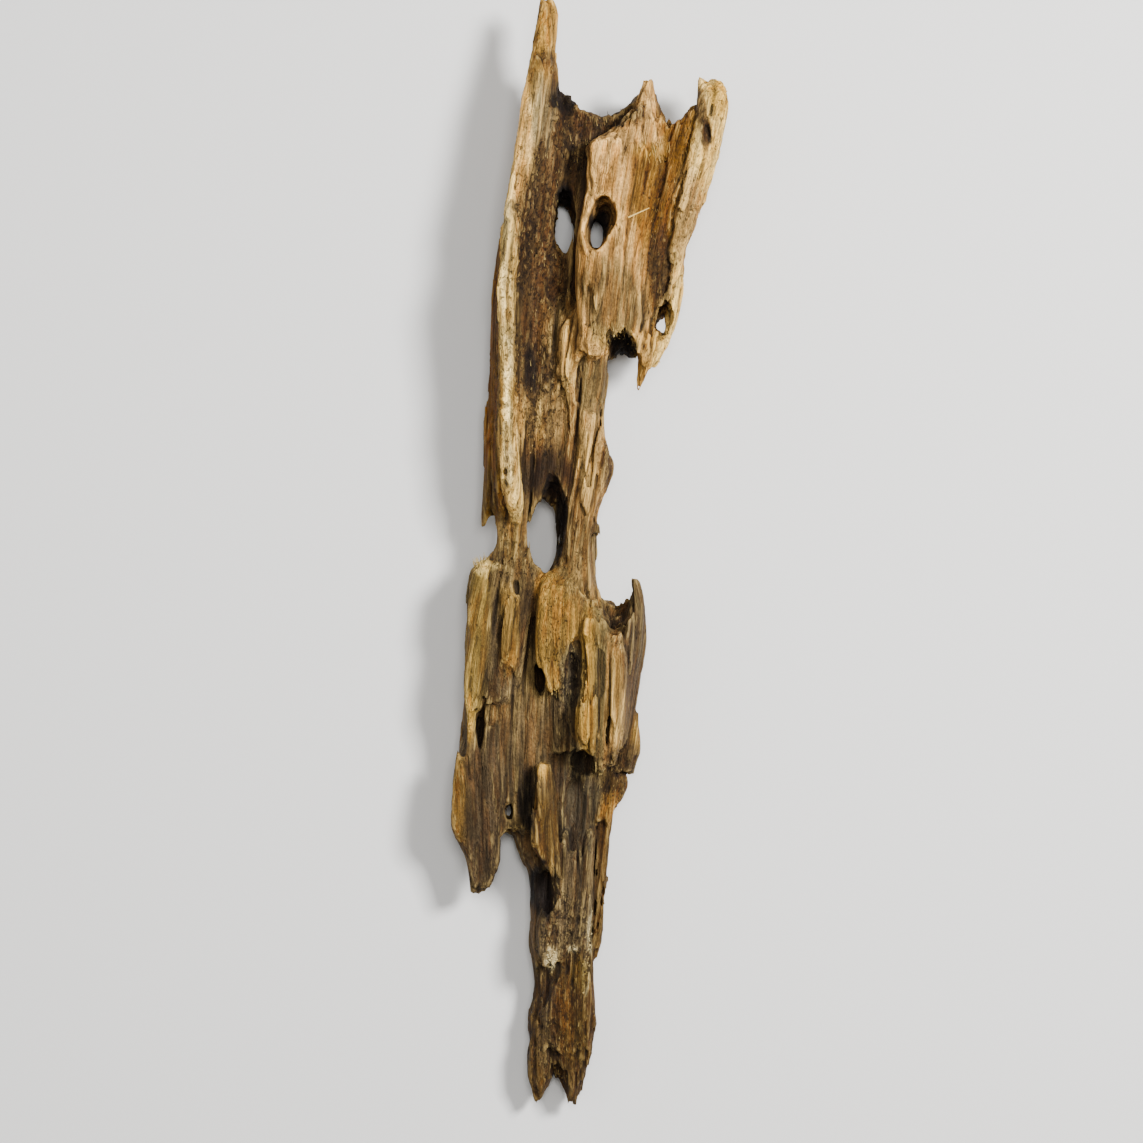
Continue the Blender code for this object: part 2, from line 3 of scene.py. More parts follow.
import bmesh
import bpy
import numpy as np
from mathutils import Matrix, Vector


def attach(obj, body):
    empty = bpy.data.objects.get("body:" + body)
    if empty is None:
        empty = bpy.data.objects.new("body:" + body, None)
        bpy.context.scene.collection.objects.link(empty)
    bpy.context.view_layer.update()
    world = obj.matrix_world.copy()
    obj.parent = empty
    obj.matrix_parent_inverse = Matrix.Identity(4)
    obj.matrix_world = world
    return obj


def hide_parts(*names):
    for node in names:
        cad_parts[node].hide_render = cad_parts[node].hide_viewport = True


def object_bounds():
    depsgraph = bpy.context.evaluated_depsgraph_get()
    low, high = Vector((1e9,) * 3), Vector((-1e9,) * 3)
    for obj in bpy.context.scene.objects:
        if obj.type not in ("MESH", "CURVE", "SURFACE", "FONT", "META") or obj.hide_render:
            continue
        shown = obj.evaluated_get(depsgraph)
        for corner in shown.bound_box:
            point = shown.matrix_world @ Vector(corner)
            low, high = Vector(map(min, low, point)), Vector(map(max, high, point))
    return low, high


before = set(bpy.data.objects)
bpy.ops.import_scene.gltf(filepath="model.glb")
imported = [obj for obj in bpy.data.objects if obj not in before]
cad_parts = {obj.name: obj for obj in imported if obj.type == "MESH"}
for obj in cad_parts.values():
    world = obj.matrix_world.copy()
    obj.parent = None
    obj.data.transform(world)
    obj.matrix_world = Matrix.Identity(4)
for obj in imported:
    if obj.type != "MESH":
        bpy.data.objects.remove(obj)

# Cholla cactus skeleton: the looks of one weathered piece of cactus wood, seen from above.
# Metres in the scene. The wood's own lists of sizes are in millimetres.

import openvdb
from mathutils import Matrix, Vector

cad_low, cad_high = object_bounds()

MM = 0.001
NODE = "cholla_wood"

# The wood is a bundle of strands grown together. Sizes are in millimetres.
# A station of a strand is (y, left edge, right edge, height at the left edge,
# height at the right edge, thickness), listed from its upper end to its lower end.
UPPER_STRANDS = {
    "left_crest": [
        (138.0, -12.5, -9.2, 20.5, 20.5, 3), (133, -13.4, -8.4, 22, 21, 5.5),
        (124, -15.0, -8.8, 24, 22, 7), (113, -17.3, -11.5, 26, 24, 8),
        (97, -19.3, -14.0, 27, 25.5, 9), (80, -21.5, -16.8, 28, 26.5, 10),
        (63, -22.8, -19.0, 28.5, 27, 10), (38, -22.4, -18.6, 27.5, 26, 9),
        (20, -22.0, -17.2, 26, 25, 8), (12, -21.0, -16.5, 24.5, 23, 6),
        (7.2, -19.5, -17.3, 21, 20, 3)],
    "left_inner": [
        (121, -13.0, -8.8, 21, 18, 7), (113, -15.5, -7.5, 22, 17, 9),
        (104, -16.5, -4.6, 22, 16, 9), (90, -18.0, -6.0, 22, 15.5, 9),
        (70, -20.0, -9.0, 21, 15, 8), (50, -20.5, -12.0, 20, 15, 8),
        (20, -20.5, -14.0, 20, 17, 7), (9, -20.0, -16.0, 18, 17, 6)],
    "left_flank": [
        (80, -22.2, -19.0, 20, 25, 6), (70, -23.9, -19.0, 16.5, 25, 8),
        (50, -24.8, -20.0, 15.0, 24.5, 8), (31, -26.6, -20.0, 14.5, 24, 8),
        (13, -27.6, -19.5, 14.5, 22, 7), (9.4, -27.8, -23.4, 14.0, 17, 6),
        (5.8, -27.8, -25.8, 13.5, 14.5, 4.5)],
    "upper_wall": [
        (114, -9.0, 23.0, 15, 17, 8), (108, -13.0, 26.0, 14.5, 17, 9),
        (100, -15.0, 25.0, 14.5, 17, 10), (85, -17.5, 21.5, 14, 16.5, 10),
        (68, -19.5, 20.0, 14, 16.5, 10), (54, -20.0, 16.5, 14.5, 16, 9),
        (49, -20.0, 13.0, 14.5, 15, 6)],
    "centre_plate": [
        (117.6, 11.7, 16.2, 20.5, 20, 4.6), (112, 10.6, 17.0, 23, 21, 7),
        (107, 7.0, 18.0, 24.5, 21.5, 9), (100, -1.0, 19.5, 26.0, 22, 12),
        (88, -1.8, 18.5, 26.5, 22, 13), (76, -3.3, 17.0, 27, 22.5, 13),
        (63, -3.4, 16.0, 27, 23.5, 13), (53, -3.6, 15.0, 26.5, 24, 12),
        (48.5, -3.4, 14.6, 25.0, 23.5, 8)],
    "fang": [
        (54, 11.2, 16.0, 24, 23, 7), (48, 11.8, 15.0, 23.5, 22.5, 6),
        (43.5, 11.4, 13.5, 22, 21, 4), (40.7, 10.2, 12.2, 20.5, 20, 2.4)],
    "right_ridge": [
        (117.2, 27.2, 34.4, 20, 20, 5), (112, 26.9, 34.8, 24, 22, 9),
        (104, 26.0, 33.4, 25.5, 22.5, 11), (96, 24.2, 31.2, 26, 22.5, 12),
        (87, 22.0, 28.2, 26.5, 23, 12), (80, 20.4, 25.8, 26.5, 23, 12),
        (75, 19.4, 24.0, 25.5, 22.5, 10), (66, 18.6, 23.4, 24.5, 21, 9),
        (57, 17.8, 21.6, 23.5, 20, 9), (50.5, 15.8, 19.0, 22, 19, 8),
        (46.5, 14.4, 16.8, 20, 18, 5)],
    "right_web": [
        (110, 15.0, 30.0, 19, 22, 10), (98, 16.0, 29.0, 21, 23.5, 12),
        (86, 15.0, 25.0, 22.5, 24, 13), (76, 14.0, 21.5, 22.5, 23.5, 13),
        (62, 13.0, 20.0, 21.5, 22, 12), (52, 12.0, 17.5, 21, 21, 10),
        (48, 12.0, 15.5, 19, 18, 7)],
}
MIDDLE_STRANDS = {
    "mid_wall": [
        (64, -21.0, 4.0, 15, 16, 9), (46, -22.0, 4.0, 16, 18, 10),
        (35, -23.0, 2.6, 16.5, 18, 10), (20, -23.0, 1.4, 17, 17.5, 10),
        (8, -24.2, 0.7, 17, 17.5, 9), (-4, -24.4, 0.3, 17, 17, 9),
        (-14, -27.0, 2.0, 17, 17, 8)],
    "centre_rib": [
        (62, -5.0, -2.8, 16, 17, 5), (54, -7.4, -2.8, 19, 20.5, 8),
        (46, -7.4, -3.8, 19.5, 20.5, 7), (38, -5.6, -3.4, 18.5, 18.5, 5),
        (30, -4.6, -3.2, 17.5, 17.5, 3)],
    "shelf": [
        (52, -4.0, 3.6, 20.5, 20.5, 9), (42, -3.4, 3.2, 19.5, 19.5, 9),
        (30, -2.4, 1.8, 18.5, 18.5, 8)],
    "mid_rib": [
        (34, -2.0, 1.9, 19.5, 19.5, 8), (27, -2.2, 3.6, 20.5, 19.5, 9),
        (21.8, -2.8, 5.2, 21, 19, 9), (16, -3.4, 4.0, 21, 19.5, 9),
        (10, -4.4, 1.4, 20.5, 20, 9), (5, -4.8, 0.2, 20.2, 19.7, 9),
        (0, -5.0, 0.1, 20, 19.5, 9),
        (-8, -4.2, 1.3, 19.5, 19, 8), (-13.8, -1.0, 2.4, 17, 16, 5)],
    "nub": [(7.3, -1.4, 2.3, 18.4, 17.6, 3.6), (4.3, -1.4, 2.3, 17.9, 17.1, 3.6)],
    "neck_left": [
        (16, -22.0, -15.0, 18, 19, 9), (5, -23.9, -15.9, 18, 19.5, 9),
        (-3, -25.2, -15.0, 18.5, 19, 9), (-9, -28.0, -12.0, 18, 18, 8)],
}
LOWER_STRANDS = {
    "lower_wall": [
        (-1.6, -26.8, -1.0, 16, 16, 7), (-5, -29.6, 1.0, 16.5, 16.5, 8),
        (-15, -30.8, 7.0, 16.5, 16, 9), (-25, -31.3, 11.0, 16.5, 15, 9),
        (-40, -32.2, 9.5, 16.5, 14, 9), (-50, -33.0, 7.0, 16.5, 13.5, 9),
        (-58, -34.0, 5.0, 16.5, 13, 9), (-66, -34.4, 2.0, 16, 12.5, 8),
        (-70, -33.4, -19.0, 15.5, 14, 7)],
    "ridge_one": [
        (-2.8, -27.4, -24.4, 18.5, 18.5, 5), (-6, -30.0, -25.2, 20, 20, 8),
        (-15, -30.8, -24.8, 21, 19.5, 9), (-28, -31.4, -25.8, 21, 19, 9),
        (-40, -31.8, -27.0, 19.5, 18, 8), (-44, -32.0, -28.6, 18.5, 17.5, 6)],
    "grey_flat": [
        (-5, -25.6, -14.6, 18, 18, 7), (-16, -26.0, -13.8, 18.4, 18.4, 7),
        (-30, -27.0, -16.6, 18, 18, 7), (-37, -27.4, -19.6, 16.8, 16.8, 5)],
    "ridge_two": [
        (-8, -22.6, -19.4, 18.5, 18.5, 6), (-13, -22.0, -18.0, 20.5, 20.5, 8),
        (-24, -21.8, -18.2, 20.5, 20.5, 8), (-30.5, -21.2, -18.8, 18.0, 18.0, 4)],
    "tongue": [
        (-3.5, -12.0, -2.0, 17.5, 18, 7), (-9, -13.2, -1.8, 21.5, 21.5, 9),
        (-20, -13.6, -1.8, 23.5, 23, 8), (-27, -13.4, -3.6, 23.0, 22, 6),
        (-31.5, -12.0, -6.0, 22, 21.5, 4.5), (-35.2, -10.5, -8.0, 20.5, 20.5, 3)],
    "tongue_side": [
        (-12, -4.6, -1.0, 20.5, 21.5, 8), (-24, -5.4, -1.6, 20.5, 21.5, 8),
        (-34, -9.0, -2.0, 18.6, 20.5, 7), (-44, -10.0, -2.6, 17.2, 19.0, 7),
        (-50.5, -9.5, -3.0, 16.2, 17.5, 6)],
    "plate_rib_one": [
        (-12.9, -1.4, 1.0, 21, 21, 4), (-18, -2.2, 1.4, 24, 24.5, 9),
        (-30, -2.9, 1.3, 25.5, 25.5, 11), (-44, -3.4, 1.2, 25.5, 25.5, 11),
        (-49.6, -3.5, 1.0, 24.5, 24.5, 8)],
    "plate_rib_two": [
        (-13.2, -0.4, 1.8, 21.5, 20.5, 5), (-17, 0.2, 4.2, 23.5, 23, 8),
        (-30, 0.8, 4.4, 24.2, 24, 9), (-44, 0.8, 4.0, 24.2, 24, 9),
        (-51, 1.2, 3.6, 23.5, 23.5, 7), (-54.8, 1.6, 3.2, 22.5, 22.5, 3)],
    "plate_rib_three": [
        (-20.2, 4.4, 8.6, 23.5, 23, 7), (-30, 4.8, 8.7, 26, 25.2, 10),
        (-40, 4.4, 8.4, 26, 25.2, 10), (-48, 3.6, 7.6, 25, 24.2, 9),
        (-53.6, 3.0, 6.0, 24, 23.5, 5)],
    "plate_side": [
        (-7.4, 10.0, 12.4, 19, 19, 3.4), (-11, 9.3, 13.5, 21.5, 19, 6),
        (-15, 8.6, 13.9, 24, 19, 8), (-22, 7.6, 13.7, 25.5, 18.5, 10),
        (-32, 7.4, 12.2, 25, 17.5, 10), (-41, 7.0, 10.7, 24, 17, 9),
        (-48, 6.2, 9.4, 22.5, 17, 7)],
    "plate_core": [
        (-12.2, 1.5, 9.5, 15.5, 16.5, 6), (-18, -1.0, 12.0, 20, 18, 9),
        (-32, -2.0, 11.5, 22, 18, 10), (-46, -2.5, 8.5, 22, 17, 9),
        (-50, -2.0, 7.0, 20, 16, 6)],
    "gold_rim": [
        (-49.5, -33.0, -31.2, 17.5, 17.5, 5), (-58, -34.2, -31.0, 18.5, 18.0, 7),
        (-68, -34.6, -31.5, 18.2, 17.5, 7), (-72, -33.2, -30.8, 16.5, 16.0, 5)],
    "left_lobe": [
        (-44, -32.0, -22.0, 16.5, 17, 8), (-58, -34.0, -21.0, 17, 17, 8),
        (-68, -34.4, -21.4, 17, 16.5, 7.5), (-72, -33.2, -22.3, 16.5, 16.5, 7),
        (-77, -31.2, -22.5, 16, 16, 6), (-81, -30.2, -23.6, 15.5, 15.5, 5.5),
        (-84.6, -29.6, -24.8, 14.5, 14.5, 4)],
    "flap": [
        (-52.8, -12.8, -10.0, 20.5, 19, 4), (-58, -13.6, -8.8, 22.5, 18, 7),
        (-66, -14.4, -8.0, 23.5, 18, 8), (-72, -14.6, -7.6, 23, 18.5, 7),
        (-76, -12.8, -7.2, 22.5, 18.8, 5), (-81.4, -9.4, -6.8, 20.8, 18.8, 3)],
    "knot_sliver": [
        (-41, 9.4, 11.6, 14, 14, 3), (-45, 9.0, 12.0, 14.5, 14.5, 5),
        (-50, 8.0, 11.8, 14, 14, 5)],
    "knot_upper": [
        (-45.5, 6.0, 11.2, 14, 13, 6), (-50, 6.0, 11.8, 14.5, 14, 8),
        (-55, 5.0, 10.8, 13.5, 13, 6)],
    "knot_lower": [
        (-53, 1.5, 8.0, 12, 12, 8), (-58.5, 1.0, 9.6, 12.5, 13.5, 9),
        (-63.5, 1.0, 6.8, 12, 12, 7)],
    "knot_foot": [
        (-60.5, 1.2, 7.6, 13, 13, 7), (-65, 1.4, 6.2, 14, 13.5, 7),
        (-68.2, 1.4, 4.9, 14, 13.5, 6)],
}
TAIL_STRANDS = {
    "column": [
        (-48, -15.0, 1.5, 13, 13, 9), (-60, -18.0, 2.0, 13.5, 13.5, 10),
        (-68, -19.4, 1.6, 13.5, 14, 10), (-73, -18.4, 1.5, 13, 14.5, 10),
        (-77, -17.2, 1.4, 12.5, 15, 10), (-81, -15.2, 1.2, 12, 15, 10),
        (-92, -15.0, 0.4, 12, 15, 11), (-97, -15.5, 0.0, 12, 15, 11),
        (-101, -15.0, -0.4, 12, 14.5, 11), (-105, -13.6, -0.2, 12, 13.5, 10),
        (-110, -12.0, -1.0, 11, 12, 7)],
    "column_face": [
        (-70, -7.6, 1.2, 15, 15, 5), (-76, -8.6, 1.2, 17, 16, 7),
        (-84, -8.8, 0.6, 16.5, 16, 8), (-92, -12.8, -2.0, 16.2, 16, 8),
        (-98, -13.2, -4.0, 16.2, 16, 8), (-104.5, -12.6, -8.4, 14.6, 15, 5)],
    "crust": [
        (-84, -6.0, 0.4, 15.5, 16, 6), (-94, -6.0, -0.4, 16.4, 16.6, 7),
        (-99.5, -5.0, -1.2, 15.4, 15.2, 5)],
    "column_back": [
        (-58, -8.0, 4.6, 7.5, 8.5, 6), (-72, -10.0, 3.9, 8, 9, 6),
        (-88, -10.0, 2.4, 8, 8.5, 6), (-99, -9.0, 0.8, 8, 8, 5)],
    "side_strand": [
        (-62, 1.8, 5.4, 11.5, 11.5, 5), (-72, 2.0, 5.2, 12, 11.5, 6),
        (-80, 1.9, 4.6, 12, 11.5, 6), (-88, 1.1, 3.4, 11.5, 11, 6),
        (-97, 0.4, 2.9, 11, 10.5, 6), (-102, -0.6, 1.7, 10, 10, 4)],
    "tail": [
        (-94, -12.0, -2.0, 9, 11, 6), (-99, -14.0, -0.4, 10, 12, 9),
        (-107, -13.4, 0.6, 10.5, 13.5, 10), (-112, -14.0, 1.0, 10, 13.5, 10),
        (-118, -15.7, 1.5, 9.5, 13, 9.5), (-123, -15.2, 0.5, 10, 12.5, 9),
        (-128, -15.4, -0.6, 10.5, 12, 8)],
    "tail_face": [
        (-98, -11.5, -0.4, 13.5, 14, 7), (-108, -10.6, 0.4, 14.5, 14.5, 8),
        (-117, -12.6, 0.9, 13.5, 14.5, 8), (-125, -12.5, 0.0, 12.5, 13, 6)],
    "left_prong": [
        (-118, -14.6, -8.0, 11.0, 11, 7), (-125, -15.2, -8.4, 11.5, 11, 8),
        (-131, -15.8, -9.0, 11, 10.5, 7), (-135, -14.4, -10.8, 10, 9.5, 5),
        (-138, -13.9, -11.9, 8.5, 8.5, 2.6)],
    "right_prong": [
        (-118, -8.8, -0.4, 12, 12.5, 7), (-125, -8.4, -0.4, 12, 12, 8),
        (-131, -7.6, -1.2, 11.5, 11.5, 7), (-135, -6.2, -2.2, 10.5, 10.5, 5),
        (-138, -5.2, -3.0, 9, 9, 2.6)],
}
BACK_STRANDS = {
    "back_rib_left": [
        (104, -16.0, -9.0, 9, 9, 7), (85, -20.0, -11.0, 8.5, 8.5, 8),
        (50, -20.0, -12.0, 10, 10, 7), (15, -22.0, -15.0, 11, 11, 7)],
    "back_rib_right": [
        (108, 15.0, 24.0, 10, 10, 7), (85, 12.0, 21.0, 9, 9, 8),
        (56, 8.0, 15.0, 10, 10, 7)],
    "back_rib_mid": [
        (60, -4.0, 3.0, 9, 9, 7), (20, -5.0, 0.5, 10.5, 10.5, 6),
        (-10, -6.0, 3.0, 9, 9, 7), (-45, -8.0, 3.0, 7.5, 7.5, 7),
        (-90, -11.0, -1.0, 6, 6, 5), (-122, -12.0, -3.0, 6, 6, 4)],
    "back_rib_lobe": [
        (-6, -28.0, -21.0, 10, 10, 6), (-40, -30.0, -22.0, 9.5, 9.5, 6),
        (-68, -31.0, -24.0, 11, 11, 6)],
}

# Low knots on the back that the piece rests on: (x, y, z, half sizes in x, y and z).
RESTING_KNOTS = {
    "knot_left": (-15.0, 88.0, 3.4, 5.0, 9.0, 4.6),
    "knot_right": (17.0, 84.0, 3.4, 5.0, 9.0, 4.6),
    "knot_tail": (-7.0, -112.0, 3.2, 4.6, 9.0, 4.2),
}

# Where the flesh, rot and breakage left the wood open: (x, y, z, half sizes in x, y and z,
# lean along x and y for each millimetre of height).
HOLLOWS = {
    "top_dip": (1.8, 121.0, 36.0, 14.0, 21.0, 25.0, 0, 0),
    "top_dip_through": (2.9, 119.5, 12.0, 10.0, 10.4, 40.0, 0, 0),
    "right_dip": (21.2, 120.0, 34.0, 6.2, 14.5, 22.0, 0, 0),
    "right_dip_through": (21.4, 118.5, 12.0, 5.2, 12.2, 40.0, 0, 0),
    "valley_hole": (-6.3, 83.0, 14.0, 2.7, 8.0, 30.0, 0.03, 0.4),
    "plate_hole": (3.5, 83.2, 27.0, 2.9, 4.6, 15.0, 0, 0),
    "plate_hole_foot": (1.4, 79.4, 27.0, 2.8, 4.4, 15.0, 0, 0),
    "plate_hole_through": (1.7, 79.6, 14.0, 1.7, 3.7, 30.0, 0, 0),
    "ridge_hole": (18.4, 57.6, 22.0, 1.7, 3.9, 9.0, 0, 0),
    "ridge_hole_through": (17.5, 56.6, 14.0, 1.1, 1.7, 30.0, 0, 0),
    "ridge_pit": (29.1, 104.1, 25.8, 1.2, 2.7, 2.8, 0, 0),
    "ridge_pit_upper": (30.4, 109.6, 25.0, 0.9, 1.5, 2.2, 0, 0),
    "crest_scar_upper": (-23.3, 54.0, 30.2, 1.0, 9.0, 2.6, 0, 0),
    "crest_scar_middle": (-21.2, 31.0, 28.6, 0.8, 8.0, 2.0, 0, 0),
    "crest_scar_lower": (-21.6, 14.5, 25.6, 1.3, 6.4, 2.8, 0, 0),
    "arch": (7.8, 47.5, 21.0, 4.6, 8.9, 9.0, 0, 0),
    "arch_through": (7.9, 41.0, 12.0, 3.9, 9.0, 30.0, 0, 0),
    "oval": (-11.9, 4.0, 12.0, 4.1, 9.2, 40.0, 0.15, 0.08),
    "oval_mouth": (-9.3, 7.5, 22.0, 3.9, 12.5, 13.0, 0, 0),
    "left_bite": (-24.8, 4.2, 14.0, 1.5, 4.8, 30.0, 0, 0),
    "slit": (-27.6, -43.2, 20.0, 1.0, 4.4, 9.0, 0, 0),
    "slit_outer": (-32.2, -45.4, 21.0, 1.5, 5.0, 9.0, 0, 0),
    "tongue_gap": (-12.6, -31.4, 16.0, 1.5, 4.4, 5.0, 0, 0),
    "deep_groove": (-15.6, -17.0, 25.0, 2.3, 16.0, 6.6, 0, 0),
    "plate_hollow": (-4.0, -31.0, 26.0, 2.4, 8.0, 7.0, 0, 0),
    "plate_cavity": (-1.0, -52.6, 17.5, 4.6, 4.6, 6.0, 0, 0),
    "scoop": (-3.2, -64.0, 22.0, 5.4, 14.0, 10.0, 0, 0),
    "knot_pocket": (5.6, -56.0, 17.0, 2.6, 2.4, 4.5, 0, 0),
    "pin_hole": (-20.2, -65.0, 14.0, 1.0, 2.2, 30.0, 0, 0),
    "flap_shade": (-11.6, -84.4, 16.6, 3.1, 7.0, 5.4, 0, 0),
    "strand_gap": (1.4, -83.0, 15.0, 0.6, 12.0, 3.6, 0, 0),
    "foot_notch": (-7.9, -136.8, 10.0, 1.3, 6.4, 30.0, 0, 0),
    "horn_dip": (6.6, -8.0, 22.0, 4.6, 12.0, 12.0, 0, 0),
    "horn_dip_through": (5.6, -5.5, 12.0, 4.6, 7.6, 30.0, 0, 0),
}

# What finish each strand has.
STRAND_FINISH = {
    "left_crest": "straw", "left_inner": "umber", "left_flank": "ochre",
    "upper_wall": "umber", "centre_plate": "tan", "fang": "honey",
    "right_ridge": "straw", "right_web": "ochre",
    "mid_wall": "drab", "centre_rib": "sand", "shelf": "drab", "mid_rib": "sand",
    "nub": "umber", "neck_left": "drab",
    "lower_wall": "drab", "grey_flat": "ash", "ridge_one": "rust", "ridge_two": "orange",
    "tongue": "orange", "tongue_side": "ash",
    "plate_rib_one": "orange", "plate_rib_two": "moss_grey",
    "plate_rib_three": "sand", "plate_side": "ash", "plate_core": "umber",
    "gold_rim": "bronze", "left_lobe": "dusk", "flap": "bronze",
    "knot_sliver": "orange", "knot_upper": "dusk", "knot_lower": "dun", "knot_foot": "honey",
    "column": "ash", "column_face": "ash", "crust": "ash", "column_back": "umber",
    "side_strand": "bronze", "tail": "dun", "tail_face": "dun",
    "left_prong": "dun", "right_prong": "dun",
    "back_rib_left": "drab", "back_rib_right": "drab", "back_rib_mid": "ash",
    "back_rib_lobe": "drab",
}
# Colours as seen on a display.
FINISHES = {
    "straw": (0.80, 0.66, 0.38), "silver": (0.55, 0.48, 0.34), "ochre": (0.38, 0.25, 0.045),
    "umber": (0.26, 0.19, 0.10), "tan": (0.72, 0.55, 0.31), "honey": (0.54, 0.385, 0.15),
    "drab": (0.38, 0.305, 0.175), "orange": (0.50, 0.38, 0.165), "moss_grey": (0.41, 0.35, 0.21),
    "rust": (0.42, 0.335, 0.155), "sand": (0.56, 0.43, 0.24), "bronze": (0.34, 0.245, 0.085),
    "ash": (0.32, 0.26, 0.17), "dusk": (0.27, 0.215, 0.14), "dun": (0.265, 0.19, 0.08),
    "gold": (0.74, 0.56, 0.22), "olive": (0.29, 0.22, 0.06),
    # The near-black colour here is painted shade, laid in holes, hollows and under edges.
    "slate": (0.25, 0.215, 0.155), "painted_shadow": (0.06, 0.04, 0.02), "cream": (0.94, 0.88, 0.68),
    # The darkest brown darkens hollows as dirt and painted shade, and also colours dark specks and
    # cracks.
    "bleached": (0.88, 0.76, 0.47), "dirt_and_shade": (0.095, 0.06, 0.018),
}
DISPLAY_GAMMA = 2.2

